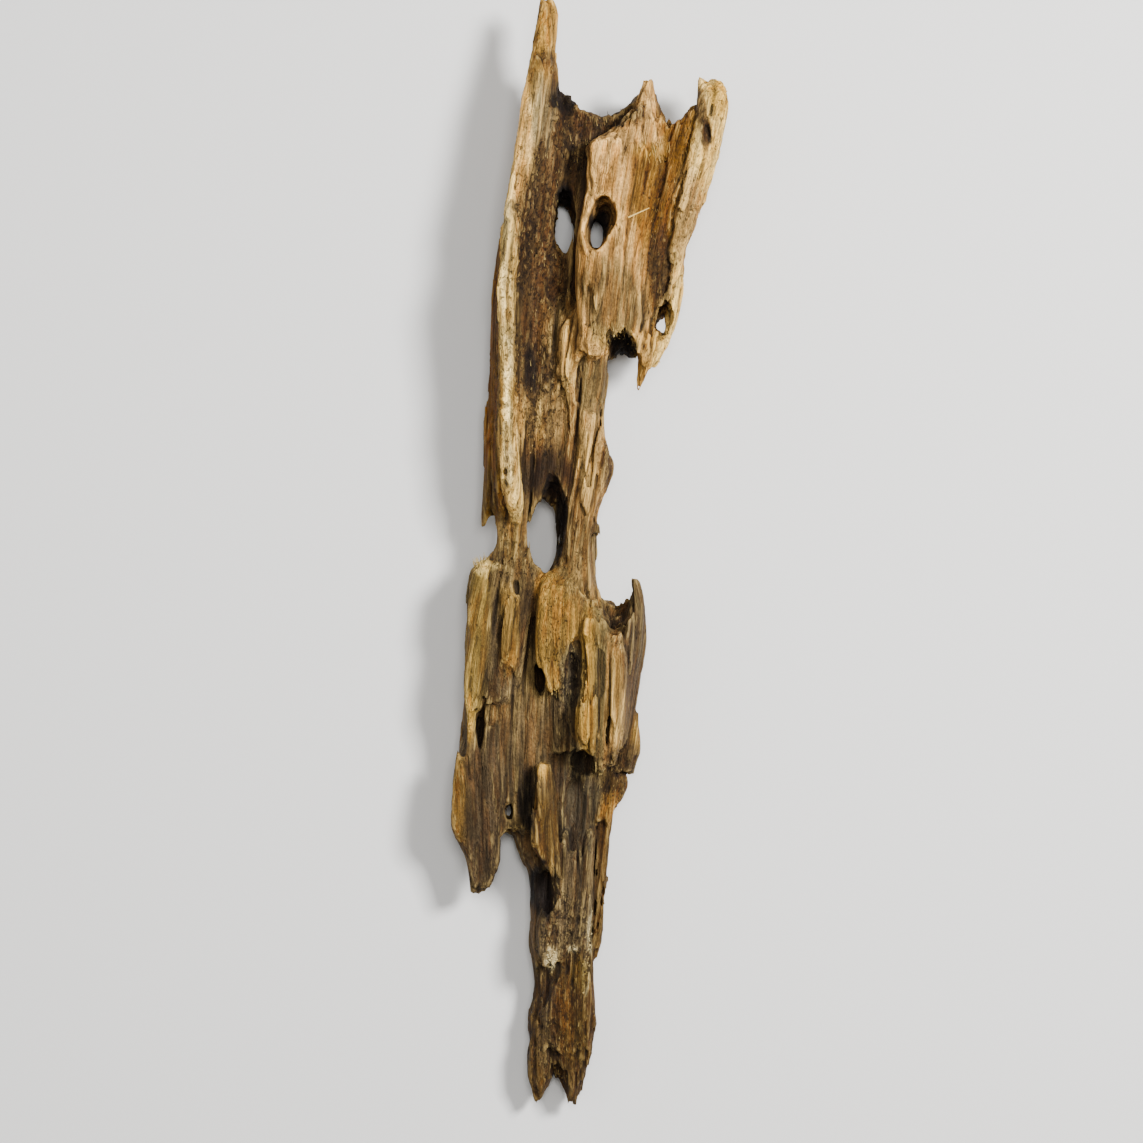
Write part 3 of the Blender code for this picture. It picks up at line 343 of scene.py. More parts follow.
# Weathered patches, and patches of painted shade in holes, hollows and grooves: (finish, strength,
# x, y, half width, half length), in millimetres.
PATCHES = [
    ("honey", 0.8, -11.6, 128.0, 4.0, 13.0), ("gold", 0.6, -12.8, 131.0, 1.2, 9.0),
    ("umber", 0.8, -11.2, 122.4, 3.2, 1.7),
    ("silver", 0.85, -11.8, 106.0, 3.4, 14.0), ("tan", 0.6, -16.6, 96.0, 2.8, 22.0),
    # The near-black patch at (-6.4, 113) is painted shade at the edge of the top dip.
    ("umber", 0.9, -5.0, 104.0, 4.6, 11.0), ("painted_shadow", 0.7, -6.4, 113.0, 3.0, 3.6),
    ("umber", 0.9, 4.4, 108.5, 8.0, 3.6), ("umber", 0.9, -12.4, 78.0, 6.4, 22.0),
    ("ochre", 0.8, 15.4, 87.0, 5.2, 14.5), ("silver", 0.45, 1.4, 68.5, 1.6, 4.0),
    ("gold", 0.6, 6.0, 53.5, 6.5, 3.6), ("sand", 0.6, 6.0, 68.0, 8.0, 16.0),
    ("ash", 0.8, 28.6, 104.0, 1.4, 4.0), ("gold", 0.7, 31.6, 113.5, 3.0, 5.0),
    ("umber", 0.85, 27.2, 111.0, 1.7, 5.6), ("silver", 0.4, 25.0, 86.0, 2.0, 10.0),
    ("umber", 0.8, 17.4, 70.0, 3.0, 11.0), ("umber", 0.7, -14.0, 48.0, 4.0, 16.0),
    # The near-black patch at (-14.8, 45.5) is painted shade in the low valley there.
    ("painted_shadow", 0.7, -14.8, 45.5, 1.5, 7.0), ("straw", 0.5, -5.8, 47.0, 1.6, 9.0),
    ("umber", 0.9, -10.4, 20.0, 5.4, 9.0), ("olive", 0.7, -25.4, 15.0, 2.4, 8.0),
    ("umber", 0.8, 4.4, 21.5, 1.4, 6.0), ("gold", 0.15, -19.8, 5.0, 3.0, 6.0),
    ("bleached", 0.6, -27.0, -3.6, 3.4, 1.6), ("slate", 0.9, -4.6, -31.0, 3.2, 9.0),
    ("gold", 0.7, -29.8, -42.5, 0.8, 6.0), ("ash", 0.6, -16.0, -50.0, 12.0, 12.0),
    ("gold", 0.6, -12.0, -54.2, 1.8, 2.0), ("slate", 0.9, -2.6, -64.0, 5.0, 14.0),
    # Both near-black patches here are painted shade: along the flap's left edge and in the hollow
    # under the flap.
    ("painted_shadow", 0.7, -15.8, -61.0, 2.2, 9.0), ("painted_shadow", 0.9, -12.2, -85.0, 2.8, 6.4),
    ("umber", 0.9, 7.4, -51.8, 4.2, 4.2), ("cream", 0.6, -9.6, -101.5, 1.9, 3.0),
    ("cream", 0.6, -4.6, -99.2, 1.1, 1.2), ("cream", 0.5, -0.8, -106.0, 0.8, 5.0),
    ("cream", 0.5, 0.0, -95.0, 0.8, 7.0), ("olive", 0.8, -3.0, -105.5, 2.4, 4.0),
    ("drab", 0.75, 6.0, 61.0, 8.5, 12.0), ("sand", 0.75, 24.0, 84.0, 4.0, 12.0),
    ("drab", 0.7, -3.0, -2.0, 5.0, 9.0), ("umber", 0.7, -11.4, -111.0, 2.6, 5.0),
    ("honey", 0.25, -6.0, -119.0, 1.8, 9.0), ("bleached", 0.25, -20.2, 62.0, 2.0, 36.0),
    ("straw", 0.4, -0.8, 22.0, 2.2, 10.0), ("gold", 0.4, -0.8, -32.0, 1.5, 18.0),
    # The dusk patch at (10.8, -27) is painted shade on the plate's right side, which the key light
    # would otherwise light.
    ("straw", 0.45, 6.3, -36.0, 1.9, 14.0), ("dusk", 0.65, 10.8, -27.0, 2.3, 12.0),
    # The near-black patch at (2.6, 81.6) is painted shade inside the plate hole.
    ("dun", 0.7, 3.2, -84.0, 2.4, 18.0), ("painted_shadow", 0.95, 2.6, 81.6, 2.5, 4.4),
    # Near-black patches of painted shade: in the arch and in the oval's mouth.
    ("painted_shadow", 0.9, 7.8, 51.4, 3.5, 3.4), ("painted_shadow", 0.85, -7.3, 8.0, 1.5, 8.0),
    # A near-black patch of painted shade in the oval's mouth, and an umber patch of painted shade
    # in the ridge pit.
    ("painted_shadow", 0.75, -9.6, 15.6, 2.4, 2.8), ("umber", 0.8, 29.1, 104.1, 1.0, 2.5),
    ("bronze", 0.6, -13.8, 124.0, 1.7, 14.0), ("bronze", 0.3, -11.0, 129.0, 3.0, 9.0),
    # The near-black patch at (-6.2, 89.2) is painted shade on the valley hole's upper wall.
    ("ash", 0.5, -5.0, -84.0, 4.0, 10.0), ("painted_shadow", 0.9, -6.2, 89.2, 1.9, 2.2),
    # The umber patch at (-15.6, -17) is painted shade in the deep groove.
    ("gold", 0.35, 13.0, 99.5, 3.0, 2.0), ("umber", 0.6, -15.6, -17.0, 1.6, 12.0),
    ("bronze", 0.7, -22.2, 44.0, 0.8, 18.0), ("bronze", 0.7, -19.2, 34.0, 0.6, 8.0),
    ("umber", 0.6, -20.6, 23.0, 0.5, 5.0), ("bronze", 0.6, -20.8, 69.0, 0.6, 9.0),
    ("umber", 0.6, -18.6, 53.0, 0.7, 9.0), ("honey", 0.5, -21.0, 12.0, 1.6, 4.0),
    ("sand", 0.45, -12.0, 31.0, 6.5, 9.0), ("straw", 0.5, -16.6, 32.0, 1.4, 6.0),
    ("straw", 0.5, -12.6, 33.0, 1.0, 6.0), ("sand", 0.5, -8.2, 36.0, 1.4, 8.0),
    ("sand", 0.4, -11.0, 57.0, 2.0, 6.0), ("umber", 0.8, -10.8, 18.6, 4.8, 5.6),
    ("ash", 0.6, -11.0, -122.0, 2.2, 9.0), ("olive", 0.5, -2.0, -122.0, 1.6, 8.0),
    ("dirt_and_shade", 0.5, -10.8, 19.4, 4.4, 6.0), ("cream", 0.25, -20.6, 48.0, 1.3, 36.0),
    ("bronze", 0.5, -20.2, 57.0, 0.9, 3.2), ("ochre", 0.35, -21.0, 48.5, 0.7, 3.6),
    ("bronze", 0.5, -19.4, 40.0, 0.8, 3.4), ("ochre", 0.35, -20.6, 28.5, 0.8, 3.0),
    ("bronze", 0.4, -19.8, 73.0, 0.8, 4.0), ("umber", 0.4, -18.6, 22.0, 0.7, 3.4),
]

# Crumbly decay: (strength, x, y, half width, half length), in millimetres.
DECAY = [
    (0.8, -11.0, 122.0, 3.0, 4.0), (1.0, -5.0, 105.0, 5.0, 11.0), (1.0, 4.0, 109.0, 9.0, 4.0),
    (0.95, -12.5, 78.0, 6.5, 22.0), (0.8, 25.8, 110.0, 2.4, 7.0), (0.6, 31.6, 113.5, 3.0, 5.0),
    (0.5, 17.2, 86.0, 4.0, 14.0), (0.8, 17.6, 64.0, 4.0, 16.0), (0.9, 6.0, 52.0, 7.5, 4.0),
    (0.9, -13.0, 42.0, 6.5, 19.0), (0.6, 4.0, 21.5, 2.4, 7.0), (0.7, -18.0, -3.0, 9.0, 4.0),
    (0.6, -8.0, -4.0, 8.0, 4.0), (0.8, -4.8, -32.0, 3.4, 9.0), (0.5, -9.0, -16.0, 4.0, 8.0),
    (0.8, 5.0, -56.0, 5.0, 10.0), (1.0, -6.0, -95.0, 8.0, 11.0), (0.8, -7.0, -119.0, 9.0, 16.0),
    (0.8, -20.8, 44.0, 3.2, 40.0), (0.4, -16.4, 96.0, 4.0, 18.0), (0.55, 28.0, 96.0, 6.0, 20.0),
    (0.5, -14.0, -2.0, 12.0, 7.0), (0.5, 22.0, 76.0, 4.0, 10.0),
]

# Smoother places, where the grain is lower and torn ends fray less:
# (strength, x, y, half width, half length), in millimetres.
CALM = [
    (0.8, -3.0, -62.0, 5.5, 12.0), (0.7, -10.0, 20.0, 5.0, 8.0), (0.6, 6.0, 80.0, 8.0, 24.0),
    (0.5, -17.0, -50.0, 12.0, 10.0), (0.5, -27.5, -68.0, 6.0, 14.0), (0.5, -11.0, -66.0, 3.0, 9.0),
    (0.5, -10.0, -112.0, 4.0, 6.0), (0.5, -8.0, -16.0, 6.0, 10.0), (0.5, -19.0, 4.0, 4.0, 7.0),
    (0.7, -12.0, -3.6, 8.0, 5.0),
]

# Where tufts of pale fibre show and light crumbs cling; slivers stand where the wood decays:
# (strength, x, y, half width, half length), in millimetres.
TUFTS = [
    (1.0, 17.4, 99.2, 2.6, 1.6), (0.5, 12.6, 103.0, 2.0, 1.4), (0.4, 0.4, 88.6, 1.0, 1.6),
    (0.5, 5.0, 54.6, 4.5, 1.2), (0.4, -27.0, -3.4, 2.6, 1.0), (0.5, -8.0, -34.6, 2.0, 1.6),
]
CRUMBS = [
    (1.0, -9.6, -101.6, 2.2, 2.8), (0.8, -4.6, -99.4, 1.6, 1.2), (0.7, -1.0, -104.0, 1.0, 6.0),
    (0.5, -0.4, -94.0, 0.9, 7.0), (0.4, 31.4, 113.6, 2.6, 3.4), (0.3, 6.0, 53.0, 6.0, 3.0),
]

# Slivers, tuft fibres and crumbs: how many a square metre, their smallest and largest
# sizes in millimetres, how wide their tip is as a share of their foot, and how much of a
# patch's ragged rim they follow. Then each bit's sides and the share of it that is sunk.
SLIVER_DENSITY = 90000.0
SLIVER_SIZES = ((0.06, 0.06, 0.5), (0.13, 0.13, 1.9))
SLIVER_TIP = 0.15
TUFT_DENSITY = 2200000.0
TUFT_SIZES = ((0.09, 0.09, 1.2), (0.18, 0.18, 3.4))
TUFT_TIP = 0.2
TUFT_RAGGED = 0.4
CRUMB_DENSITY = 900000.0
CRUMB_SIZES = ((0.15, 0.15, 0.18), (0.42, 0.42, 0.5))
CRUMB_TIP = 0.6
CRUMB_RAGGED = 0.6
BIT_SIDES = 5
BIT_SUNK = 0.3

# The least and greatest turn of a bit about each axis, in radians: nearly along the
# grain, or any way.
ALONG_GRAIN = ((math.radians(-90) - 0.05, -0.3, -0.3), (math.radians(-90) + 0.5, 0.3, 0.3))
ANY_WAY = ((-math.pi,) * 3, (math.pi,) * 3)

# No sliver, tuft or crumb grows below this height in millimetres, so none meets the floor.
LOWEST_BITS = 6.0

# The loose fibre's ends, the radius of its thicker end and its sides, in millimetres.
LOOSE_FIBRE_ENDS = ((9.4, 82.6, 28.2), (14.6, 84.9, 28.6))
LOOSE_FIBRE_RADIUS = 0.22
LOOSE_FIBRE_SIDES = 6

# Three lines that the grain follows from end to end, each a list of (y, x), and the
# grain's own coordinate on each of them.
GRAIN_LINES = [
    [(-140, -24), (-75, -27), (-50, -28), (-20, -25), (0, -21.5), (20, -20.5), (38, -21),
     (63, -21), (80, -19), (97, -16.6), (113, -14.4), (138, -11)],
    [(-140, -6), (-110, -6), (-80, -4), (-50, -3), (-20, -4), (0, -3), (20, 0), (50, 4.5),
     (80, 8), (110, 13), (138, 15.5)],
    [(-140, 1), (-100, 2), (-70, 6), (-40, 10), (-15, 12), (0, 9), (20, 10), (40, 14),
     (57, 19), (75, 21.5), (87, 25), (96, 28), (112, 31), (138, 37)],
]
GRAIN_PLACES = (-18.0, 0.0, 15.0)

# The grid that the wood is worked out on, in millimetres: its cells, the room round the
# wood, the distance that stands for open air and how deep the grain may reach. Then the
# most triangles that the skin keeps.
CELL = (0.40, 0.84, 0.40)
MARGIN = 3.0
OPEN_AIR = 9.0
SKIN_REACH = 2.6
MOST_TRIANGLES = 190000

# How softly strands join, knots swell and hollows are cut, how far a hollow's rim wanders
# and over which cells, the least half thickness and least width of a strand, in
# millimetres, and how round its corners are.
JOIN_SOFTNESS = 1.7
KNOT_SOFTNESS = 2.0
HOLLOW_SOFTNESS = 0.4
HOLLOW_WOBBLE = 0.45
WOBBLE_CELL = (1.6, 2.4, 3.0)
THINNEST_HALF = 0.3
NARROWEST = 1.0
ROUNDNESS = 0.75

# How far torn ends fray: the noise's cell and reach in millimetres, the share of it for
# each millimetre of thickness, and the least and largest share.
FRAY_CELL = 1.7
FRAY_REACH = 1.5
FRAY_SHARE = 0.12
FRAY_LIMITS = (0.3, 1.0)

# The grain and the decay: cells, lengths and depths in millimetres.
SWAY = 1.2
SWAY_LENGTH = 30.0
SWAY_CELL = 9.0
FIBRE_CELL = 0.95
FIBRE_LENGTH = 26.0
FIBRE_DEPTH = 0.42
GROOVE_CELL = 2.7
GROOVE_LENGTH = 42.0
GROOVE_DEPTH = 0.8
GROOVE_EDGE = 0.22
SPLIT_CELL = 3.4
SPLIT_LENGTH = 15.0
SPLIT_DEPTH = 0.6
SPLIT_START = 0.62
SPLIT_EDGE = 0.04
LUMP_CELL = 6.0
LUMP_LENGTH = 22.0
LUMP_DEPTH = 0.9
CRUMB_CELL = 1.15
CRUMB_STRETCH = 0.7
CRUMB_DEPTH = 0.5

# What decay does to the grain: how much of the fibres and grooves it levels, and the share
# of the crumbs' depth on sound wood and what full decay adds to it.
LEVELLED_FIBRES = 0.5
LEVELLED_GROOVES = 0.6
SOUND_CRUMBS = 0.25
DECAY_CRUMBS = 1.3

# A patch's rim: how far it wanders as a share of the patch's half sizes, over which cells
# in millimetres, where it ends and over how much it fades.
RIM_REACH = 0.55
RIM_CELL = (1.6, 4.5)
RIM_END = 1.2
RIM_FADE = 0.4

# How far a strand's own colour reaches, and the depths in millimetres that count for it.
COLOUR_REACH = 0.55
COLOUR_DEPTHS = (-0.5, 20)

# How many cells each way are looked at to tell a crest from a hollow, close by and wider.
FINE_LOOK = (2, 1, 2)
WIDE_LOOK = (8, 4, 8)

# The noise's seed, the side of its table, and where each kind of it is read, so that no
# two kinds are alike.
SEED = 20
TABLE_SIDE = 64
LAYER_SHIFT = (7.3, 3.1)
FRAY_PLACE = 11.0
SWAY_PLACE = 0.5
GROOVE_SHIFT = (9, 4)
SPLIT_SHIFT = (3, 5)
RIM_PLACE = 2.0

# The shader groups: how the noise is stretched for each effect, the low and high values
# of the noise or the wear between which each mask fades, and the level that specks rise
# above, which falls from its top as their share grows.
FIBRE_STRETCH = (3.3, 2.2, 3.3)
CRACK_STRETCH = (0.9, 0.6, 0.9)
SPECK_STRETCH = (1.0, 0.5, 1.0)
STREAK_EDGES = (0.32, 0.68)
FIBRE_EDGES = (0.34, 0.66)
CRACK_LEVEL = 0.47
CRACK_WIDTH = 0.016
WEAR_WOBBLE = 0.14
CREST_EDGES = (0.34, 0.47)
SUNK_EDGES = (0.51, 0.66)
DEEP_EDGES = (0.5, 0.76)
SPECK_TOP = 0.75
SPECK_SPAN = -0.4
SPECK_EDGE = 0.07

# The wood's finish. Widths and sizes are in millimetres across the grain, and lengths
# along it.
STREAKS = {"Width": 1.1, "Length": 24.0}
BROAD_STREAKS = {"Width": 5.0, "Length": 46.0}
FIBRE_STREAKS = {"Width": 1.5, "Length": 6.0}
GRIT_STRETCH = (2.6, 1.3, 2.6)
DARK_SPECK_SIZE = 0.62
LIGHT_SPECK_SIZE = 0.7
LIGHT_SPECK_STRETCH = (1.0, 0.7, 1.3)
FIBRE_SPECKS = {"Size": 0.8, "Share": 0.3}
# How much each part of the finish shades the wood, from its darkest to its lightest.
BROAD_SHADE = (0.7, 1.2)
FIBRE_SHADE = (0.74, 1.22)
# On sound wood, and what full decay adds to it.
STREAK_DARKEST = (0.54, 0.28)
STREAK_LIGHTEST = (1.32, -0.2)
GRIT_DARKEST = (0.64, -0.22)
GRIT_LIGHTEST = (1.36, 0.26)
DARK_SPECK_SHARE = (0.2, 0.34)
LIGHT_SPECK_SHARE = (0.04, 0.3)
CRACK_STRENGTH = (0.6, -0.4)
# Where masks fade, and how strongly each colour is laid on.
WARM_EDGES = (0.3, 0.9)
WARMTH = 0.45
GRIT_EDGES = (0.25, 0.75)
PALE_EDGES = (0.2, 0.8)
# The crests' paleness is partly bleached wood and partly a painted highlight on the edges.
CREST_BLEACH_AND_HIGHLIGHT = (0.3, 0.9)
CREST_LIGHT = (1.9, 1.85, 1.75, 1.0)
BLEACH_BRIGHTNESS = 20.0
BLEACH = 0.22
# The hollows' darkening is partly dirt and partly painted shade.
HOLLOW_SHADE_AND_DIRT = 0.74
DARK_SPECKS = 0.7
LIGHT_SPECKS = 0.6
FIBRE_PALENESS = (0.0, 0.38)
FIBRE_DIRT = 0.6
# The fine relief that is too small for the mesh: its strength, its depth in millimetres
# and how much each part adds to its height.
BUMP_STRENGTH = 0.9
BUMP_DEPTH = 0.32
BUMP_PARTS = {"Fibre": 0.6, "Grit": 1.4, "Crack": -0.8, "Dark": -0.8}
# Roughness from dark streaks to pale ones, the loose bits' own, and the mirrored light.
WOOD_ROUGHNESS = (0.92, 0.68)
BIT_ROUGHNESS = 0.85
DRY_SPECULAR = 0.2

# The photograph's frame: its side in pixels, the pixels in a millimetre of wood, and
# the pixel that the object's origin falls on. The camera's distance is in metres and its
# sensor's width in millimetres.
FRAME_SIDE = 1143
PIXELS_PER_MM = 4.0
ORIGIN_PIXEL = (590.0, 552.0)
CAMERA_DISTANCE = 1.2
SENSOR_WIDTH = 36.0

# The studio, in metres and watts.
FLOOR_SIDE = 6.0
FLOOR_COLOUR = (0.72, 0.71, 0.69, 1)
FLOOR_ROUGHNESS = 0.9
LIGHTS = {
    "key": {"place": (0.5, 0.25, 0.72), "size": 0.2, "power": 19.0},
    "front": {"place": (0.05, 0.15, 1.15), "size": 0.3, "power": 7.0},
    "fill": {"place": (-0.6, 0.1, 0.9), "size": 0.8, "power": 2.5},
}
SKY_COLOUR = (1.0, 0.98, 0.95, 1)
SKY_STRENGTH = 0.25


def all_strands():
    """Every strand's name and stations."""
    strands = {}
    for group in (UPPER_STRANDS, MIDDLE_STRANDS, LOWER_STRANDS, TAIL_STRANDS, BACK_STRANDS):
        strands.update(group)
    return strands


def sizes_along(stations, y):
    """A strand's five sizes at each y, on smooth curves that never overshoot a station."""
    table = np.array(stations, float)[::-1]
    knots = table[:, 0]
    values = table[:, 1:]
    i = np.clip(np.searchsorted(knots, y) - 1, 0, len(knots) - 2)
    step = (knots[i + 1] - knots[i])[..., None]
    t = np.clip((y - knots[i])[..., None] / step, 0, 1)
    rise = np.diff(values, axis=0) / np.diff(knots)[:, None]
    slope = np.zeros_like(values)
    if len(knots) > 2:
        product = rise[1:] * rise[:-1]
        total = np.where(product > 0, rise[1:] + rise[:-1], 1.0)
        slope[1:-1] = np.where(product > 0, 2 * product / total, 0.0)
    slope[0] = rise[0]
    slope[-1] = rise[-1]
    return (values[i] * (2 * t**3 - 3 * t**2 + 1) + values[i + 1] * (3 * t**2 - 2 * t**3)
            + step * slope[i] * (t**3 - 2 * t**2 + t) + step * slope[i + 1] * (t**3 - t**2))


def strand_distance(stations, x, y, z, fray=0.0):
    """Distance to a strand's skin, below zero inside."""
    top = stations[0][0]
    foot = stations[-1][0]
    sizes = sizes_along(stations, np.clip(y, foot, top))
    left, right, top_left, top_right, thickness = np.moveaxis(sizes, -1, 0)
    half_width = np.maximum((right - left) / 2, THINNEST_HALF)
    shear = (top_right - top_left) / np.maximum(right - left, NARROWEST)
    lean = np.sqrt(1 + shear**2)
    half_height = np.maximum(thickness / 2, THINNEST_HALF) / lean
    middle = (left + right) / 2
    across = x - middle
    up = (z - (top_left + top_right - thickness) / 2 - shear * across) / lean
    corner = np.minimum(half_width, half_height) * ROUNDNESS
    out_x = np.abs(across) - half_width + corner
    out_z = np.abs(up) - half_height + corner
    distance = (np.sqrt(np.maximum(out_x, 0)**2 + np.maximum(out_z, 0)**2)
                + np.minimum(np.maximum(out_x, out_z), 0) - corner)
    reach = np.clip(FRAY_SHARE * (stations[0][5] + stations[-1][5]), *FRAY_LIMITS)
    past = np.maximum(y - top, foot - y) + fray * reach
    return np.where(past > 0, np.sqrt(np.maximum(distance, 0)**2 + past**2),
                    np.maximum(distance, past))


def ball_distance(x, y, z, sizes):
    """Rough distance to a leaning ellipsoid, below zero inside."""
    px, py, pz, half_x, half_y, half_z = sizes[:6]
    lean_x, lean_y = sizes[6:] if len(sizes) > 6 else (0.0, 0.0)
    height = z - pz
    reach = np.sqrt(((x - px - lean_x * height) / half_x)**2
                    + ((y - py - lean_y * height) / half_y)**2 + (height / half_z)**2)
    return (reach - 1) * min(half_x, half_y, half_z)


def soft_min(a, b, softness):
    """The smaller of two distances, rounded where they meet."""
    share = np.clip(0.5 + 0.5 * (b - a) / softness, 0, 1)
    return b * (1 - share) + a * share - softness * share * (1 - share)


class Noise:
    """Smooth random values on a lattice, the same each run."""

    def __init__(self, seed):
        self.table = np.random.default_rng(seed).random((TABLE_SIDE,) * 3).astype(np.float32)

    def __call__(self, x, y, z):
        cell = [np.floor(v) for v in (x, y, z)]
        part = [(v - c).astype(np.float32) for v, c in zip((x, y, z), cell)]
        part = [p * p * (3 - 2 * p) for p in part]
        low = [c.astype(np.int32) % TABLE_SIDE for c in cell]
        high = [(c + 1) % TABLE_SIDE for c in low]
        total = 0.0
        for ix, wx in ((low[0], 1 - part[0]), (high[0], part[0])):
            for iy, wy in ((low[1], 1 - part[1]), (high[1], part[1])):
                for iz, wz in ((low[2], 1 - part[2]), (high[2], part[2])):
                    total = total + self.table[ix, iy, iz] * wx * wy * wz
        return total


noise = Noise(SEED)


def layered(x, y, z, layers):
    """Noise with finer layers added, from 0 to 1."""
    total = 0.0
    weight = 0.0
    for layer in range(layers):
        scale = 2.0**layer
        share = 0.5**layer
        total = total + share * noise(x * scale + LAYER_SHIFT[0] * layer, y * scale,
                                      z * scale + LAYER_SHIFT[1] * layer)
        weight += share
    return total / weight


def ridged(x, y, z):
    """Noise with sharp valleys, 0 in the valleys."""
    return np.abs(2 * noise(x, y, z) - 1)


def grid_axes():
    """The grid's places in x, y and z, in millimetres."""
    low = (cad_low / MM) - Vector((MARGIN,) * 3)
    high = (cad_high / MM) + Vector((MARGIN,) * 3)
    return [np.arange(low[i], high[i], CELL[i], dtype=np.float64) for i in range(3)]


def solid_field(gx, gy, gz):
    """The strands joined and the hollows cut: a distance to the wood, below zero inside."""
    x = gx[:, None, None]
    y = gy[None, :, None]
    z = gz[None, None, :]
    field = np.full((len(gx), len(gy), len(gz)), OPEN_AIR, np.float32)
    uneven = layered(x / FRAY_CELL, np.float64(FRAY_PLACE), z / FRAY_CELL, 2)
    fray = FRAY_REACH * (2 * uneven - 1)
    whole = 1 - strongest(CALM, x + 0 * y, y + 0 * x, 0.0)
    for stations in all_strands().values():
        table = np.array(stations, float)
        ks = np.where((gx > table[:, 1].min() - MARGIN) & (gx < table[:, 2].max() + MARGIN))[0]
        js = np.where((gy > table[-1, 0] - MARGIN) & (gy < table[0, 0] + MARGIN))[0]
        bottom = (table[:, 3:5].min(1) - table[:, 5]).min()
        ls = np.where((gz > bottom - MARGIN) & (gz < table[:, 3:5].max() + MARGIN))[0]
        block = np.ix_(ks, js, ls)
        ragged = fray[ks][:, :, ls] * whole[ks][:, js]
        distance = strand_distance(stations, x[ks], y[:, js], z[:, :, ls], ragged)
        field[block] = soft_min(field[block], distance.astype(np.float32), JOIN_SOFTNESS)
    for sizes in RESTING_KNOTS.values():
        field = soft_min(field, ball_distance(x, y, z, sizes), KNOT_SOFTNESS)
    uneven = layered(x / WOBBLE_CELL[0], y / WOBBLE_CELL[1], z / WOBBLE_CELL[2], 2)
    wobble = HOLLOW_WOBBLE * (2 * uneven - 1)
    for sizes in HOLLOWS.values():
        field = -soft_min(-field, ball_distance(x + wobble, y + wobble, z, sizes), HOLLOW_SOFTNESS)
    return field.astype(np.float32)


def across_grain(x, y):
    """The grain's own coordinate, which stays the same along a fibre."""
    lines = [np.interp(y, *zip(*line)) for line in GRAIN_LINES]
    left, middle, right = lines
    low, centre, high = GRAIN_PLACES
    left_part = centre + (x - middle) / (middle - left) * (centre - low)
    right_part = centre + (x - middle) / (right - middle) * (high - centre)
    return np.where(x < middle, left_part, right_part)


def relief(x, y, z):
    """How far the skin sinks at each place: fibres, grooves, splits, lumps and crumbs."""
    ragged = ragged_rim(x, y)
    decay = strongest(DECAY, x, y, ragged)
    side = across_grain(x, y) + SWAY * noise(SWAY_PLACE + 0 * x, y / SWAY_LENGTH, z / SWAY_CELL)
    fibre = layered(side / FIBRE_CELL, y / FIBRE_LENGTH, z / FIBRE_CELL, 2)
    groove = ridged(side / GROOVE_CELL + GROOVE_SHIFT[0], y / GROOVE_LENGTH,
                    z / GROOVE_CELL + GROOVE_SHIFT[1])
    split = noise(side / SPLIT_CELL + SPLIT_SHIFT[0], y / SPLIT_LENGTH + SPLIT_SHIFT[1],
                  z / SPLIT_CELL)
    lumps = layered(x / LUMP_CELL, y / LUMP_LENGTH, z / LUMP_CELL, 2)
    crumbs = layered(x / CRUMB_CELL, y / CRUMB_CELL * CRUMB_STRETCH, z / CRUMB_CELL, 2)
    valley = np.clip(1 - groove / GROOVE_EDGE, 0, 1)
    sink = FIBRE_DEPTH * (1 - 2 * fibre) * (1 - LEVELLED_FIBRES * decay)
    sink = sink + GROOVE_DEPTH * valley * (1 - LEVELLED_GROOVES * decay)
    sink = sink + SPLIT_DEPTH * np.clip((split - SPLIT_START) / SPLIT_EDGE, 0, 1)
    sink = sink + LUMP_DEPTH * (2 * lumps - 1)
    sink = sink + (SOUND_CRUMBS + DECAY_CRUMBS * decay) * CRUMB_DEPTH * (2 * crumbs - 1)
    return sink * (1 - strongest(CALM, x, y, ragged))


def ragged_rim(x, y):
    """How far a patch's rim wanders at each place."""
    return RIM_REACH * (2 * layered(x / RIM_CELL[0], y / RIM_CELL[1], 0 * x + RIM_PLACE, 3) - 1)


def patch_share(x, y, ragged, patch):
    """How strongly a patch shows at each place."""
    strength, px, py, half_width, half_length = patch
    reach = np.sqrt(((x - px) / half_width)**2 + ((y - py) / half_length)**2) + ragged
    return strength * np.clip((RIM_END - reach) / RIM_FADE, 0, 1)


def strongest(patches, x, y, ragged):
    """The strongest of several patches at each place."""
    share = np.zeros_like(x)
    for patch in patches:
        share = np.maximum(share, patch_share(x, y, ragged, patch))
    return share


def box_blur(values, cells):
    """The mean over a box of cells each way, along each axis in turn."""
    for axis, reach in enumerate(cells):
        padded = np.concatenate([np.take(values, [0], axis)] * (reach + 1) + [values]
                                + [np.take(values, [-1], axis)] * reach, axis)
        total = np.cumsum(padded, axis, dtype=np.float64)
        width = 2 * reach + 1
        upper = np.take(total, range(width, total.shape[axis]), axis)
        lower = np.take(total, range(0, total.shape[axis] - width), axis)
        values = ((upper - lower) / width).astype(np.float32)
    return values


def sample(values, places):
    """Values of a grid between its cells, at places counted in cells."""
    low = np.clip(np.floor(places).astype(int), 0, np.array(values.shape) - 2)
    part = np.clip(places - low, 0, 1)
    total = 0.0
    for dx in (0, 1):
        for dy in (0, 1):
            for dz in (0, 1):
                weight = 1.0
                for axis, d in enumerate((dx, dy, dz)):
                    weight = weight * (part[:, axis] if d else 1 - part[:, axis])
                total = total + weight * values[low[:, 0] + dx, low[:, 1] + dy, low[:, 2] + dz]
    return total


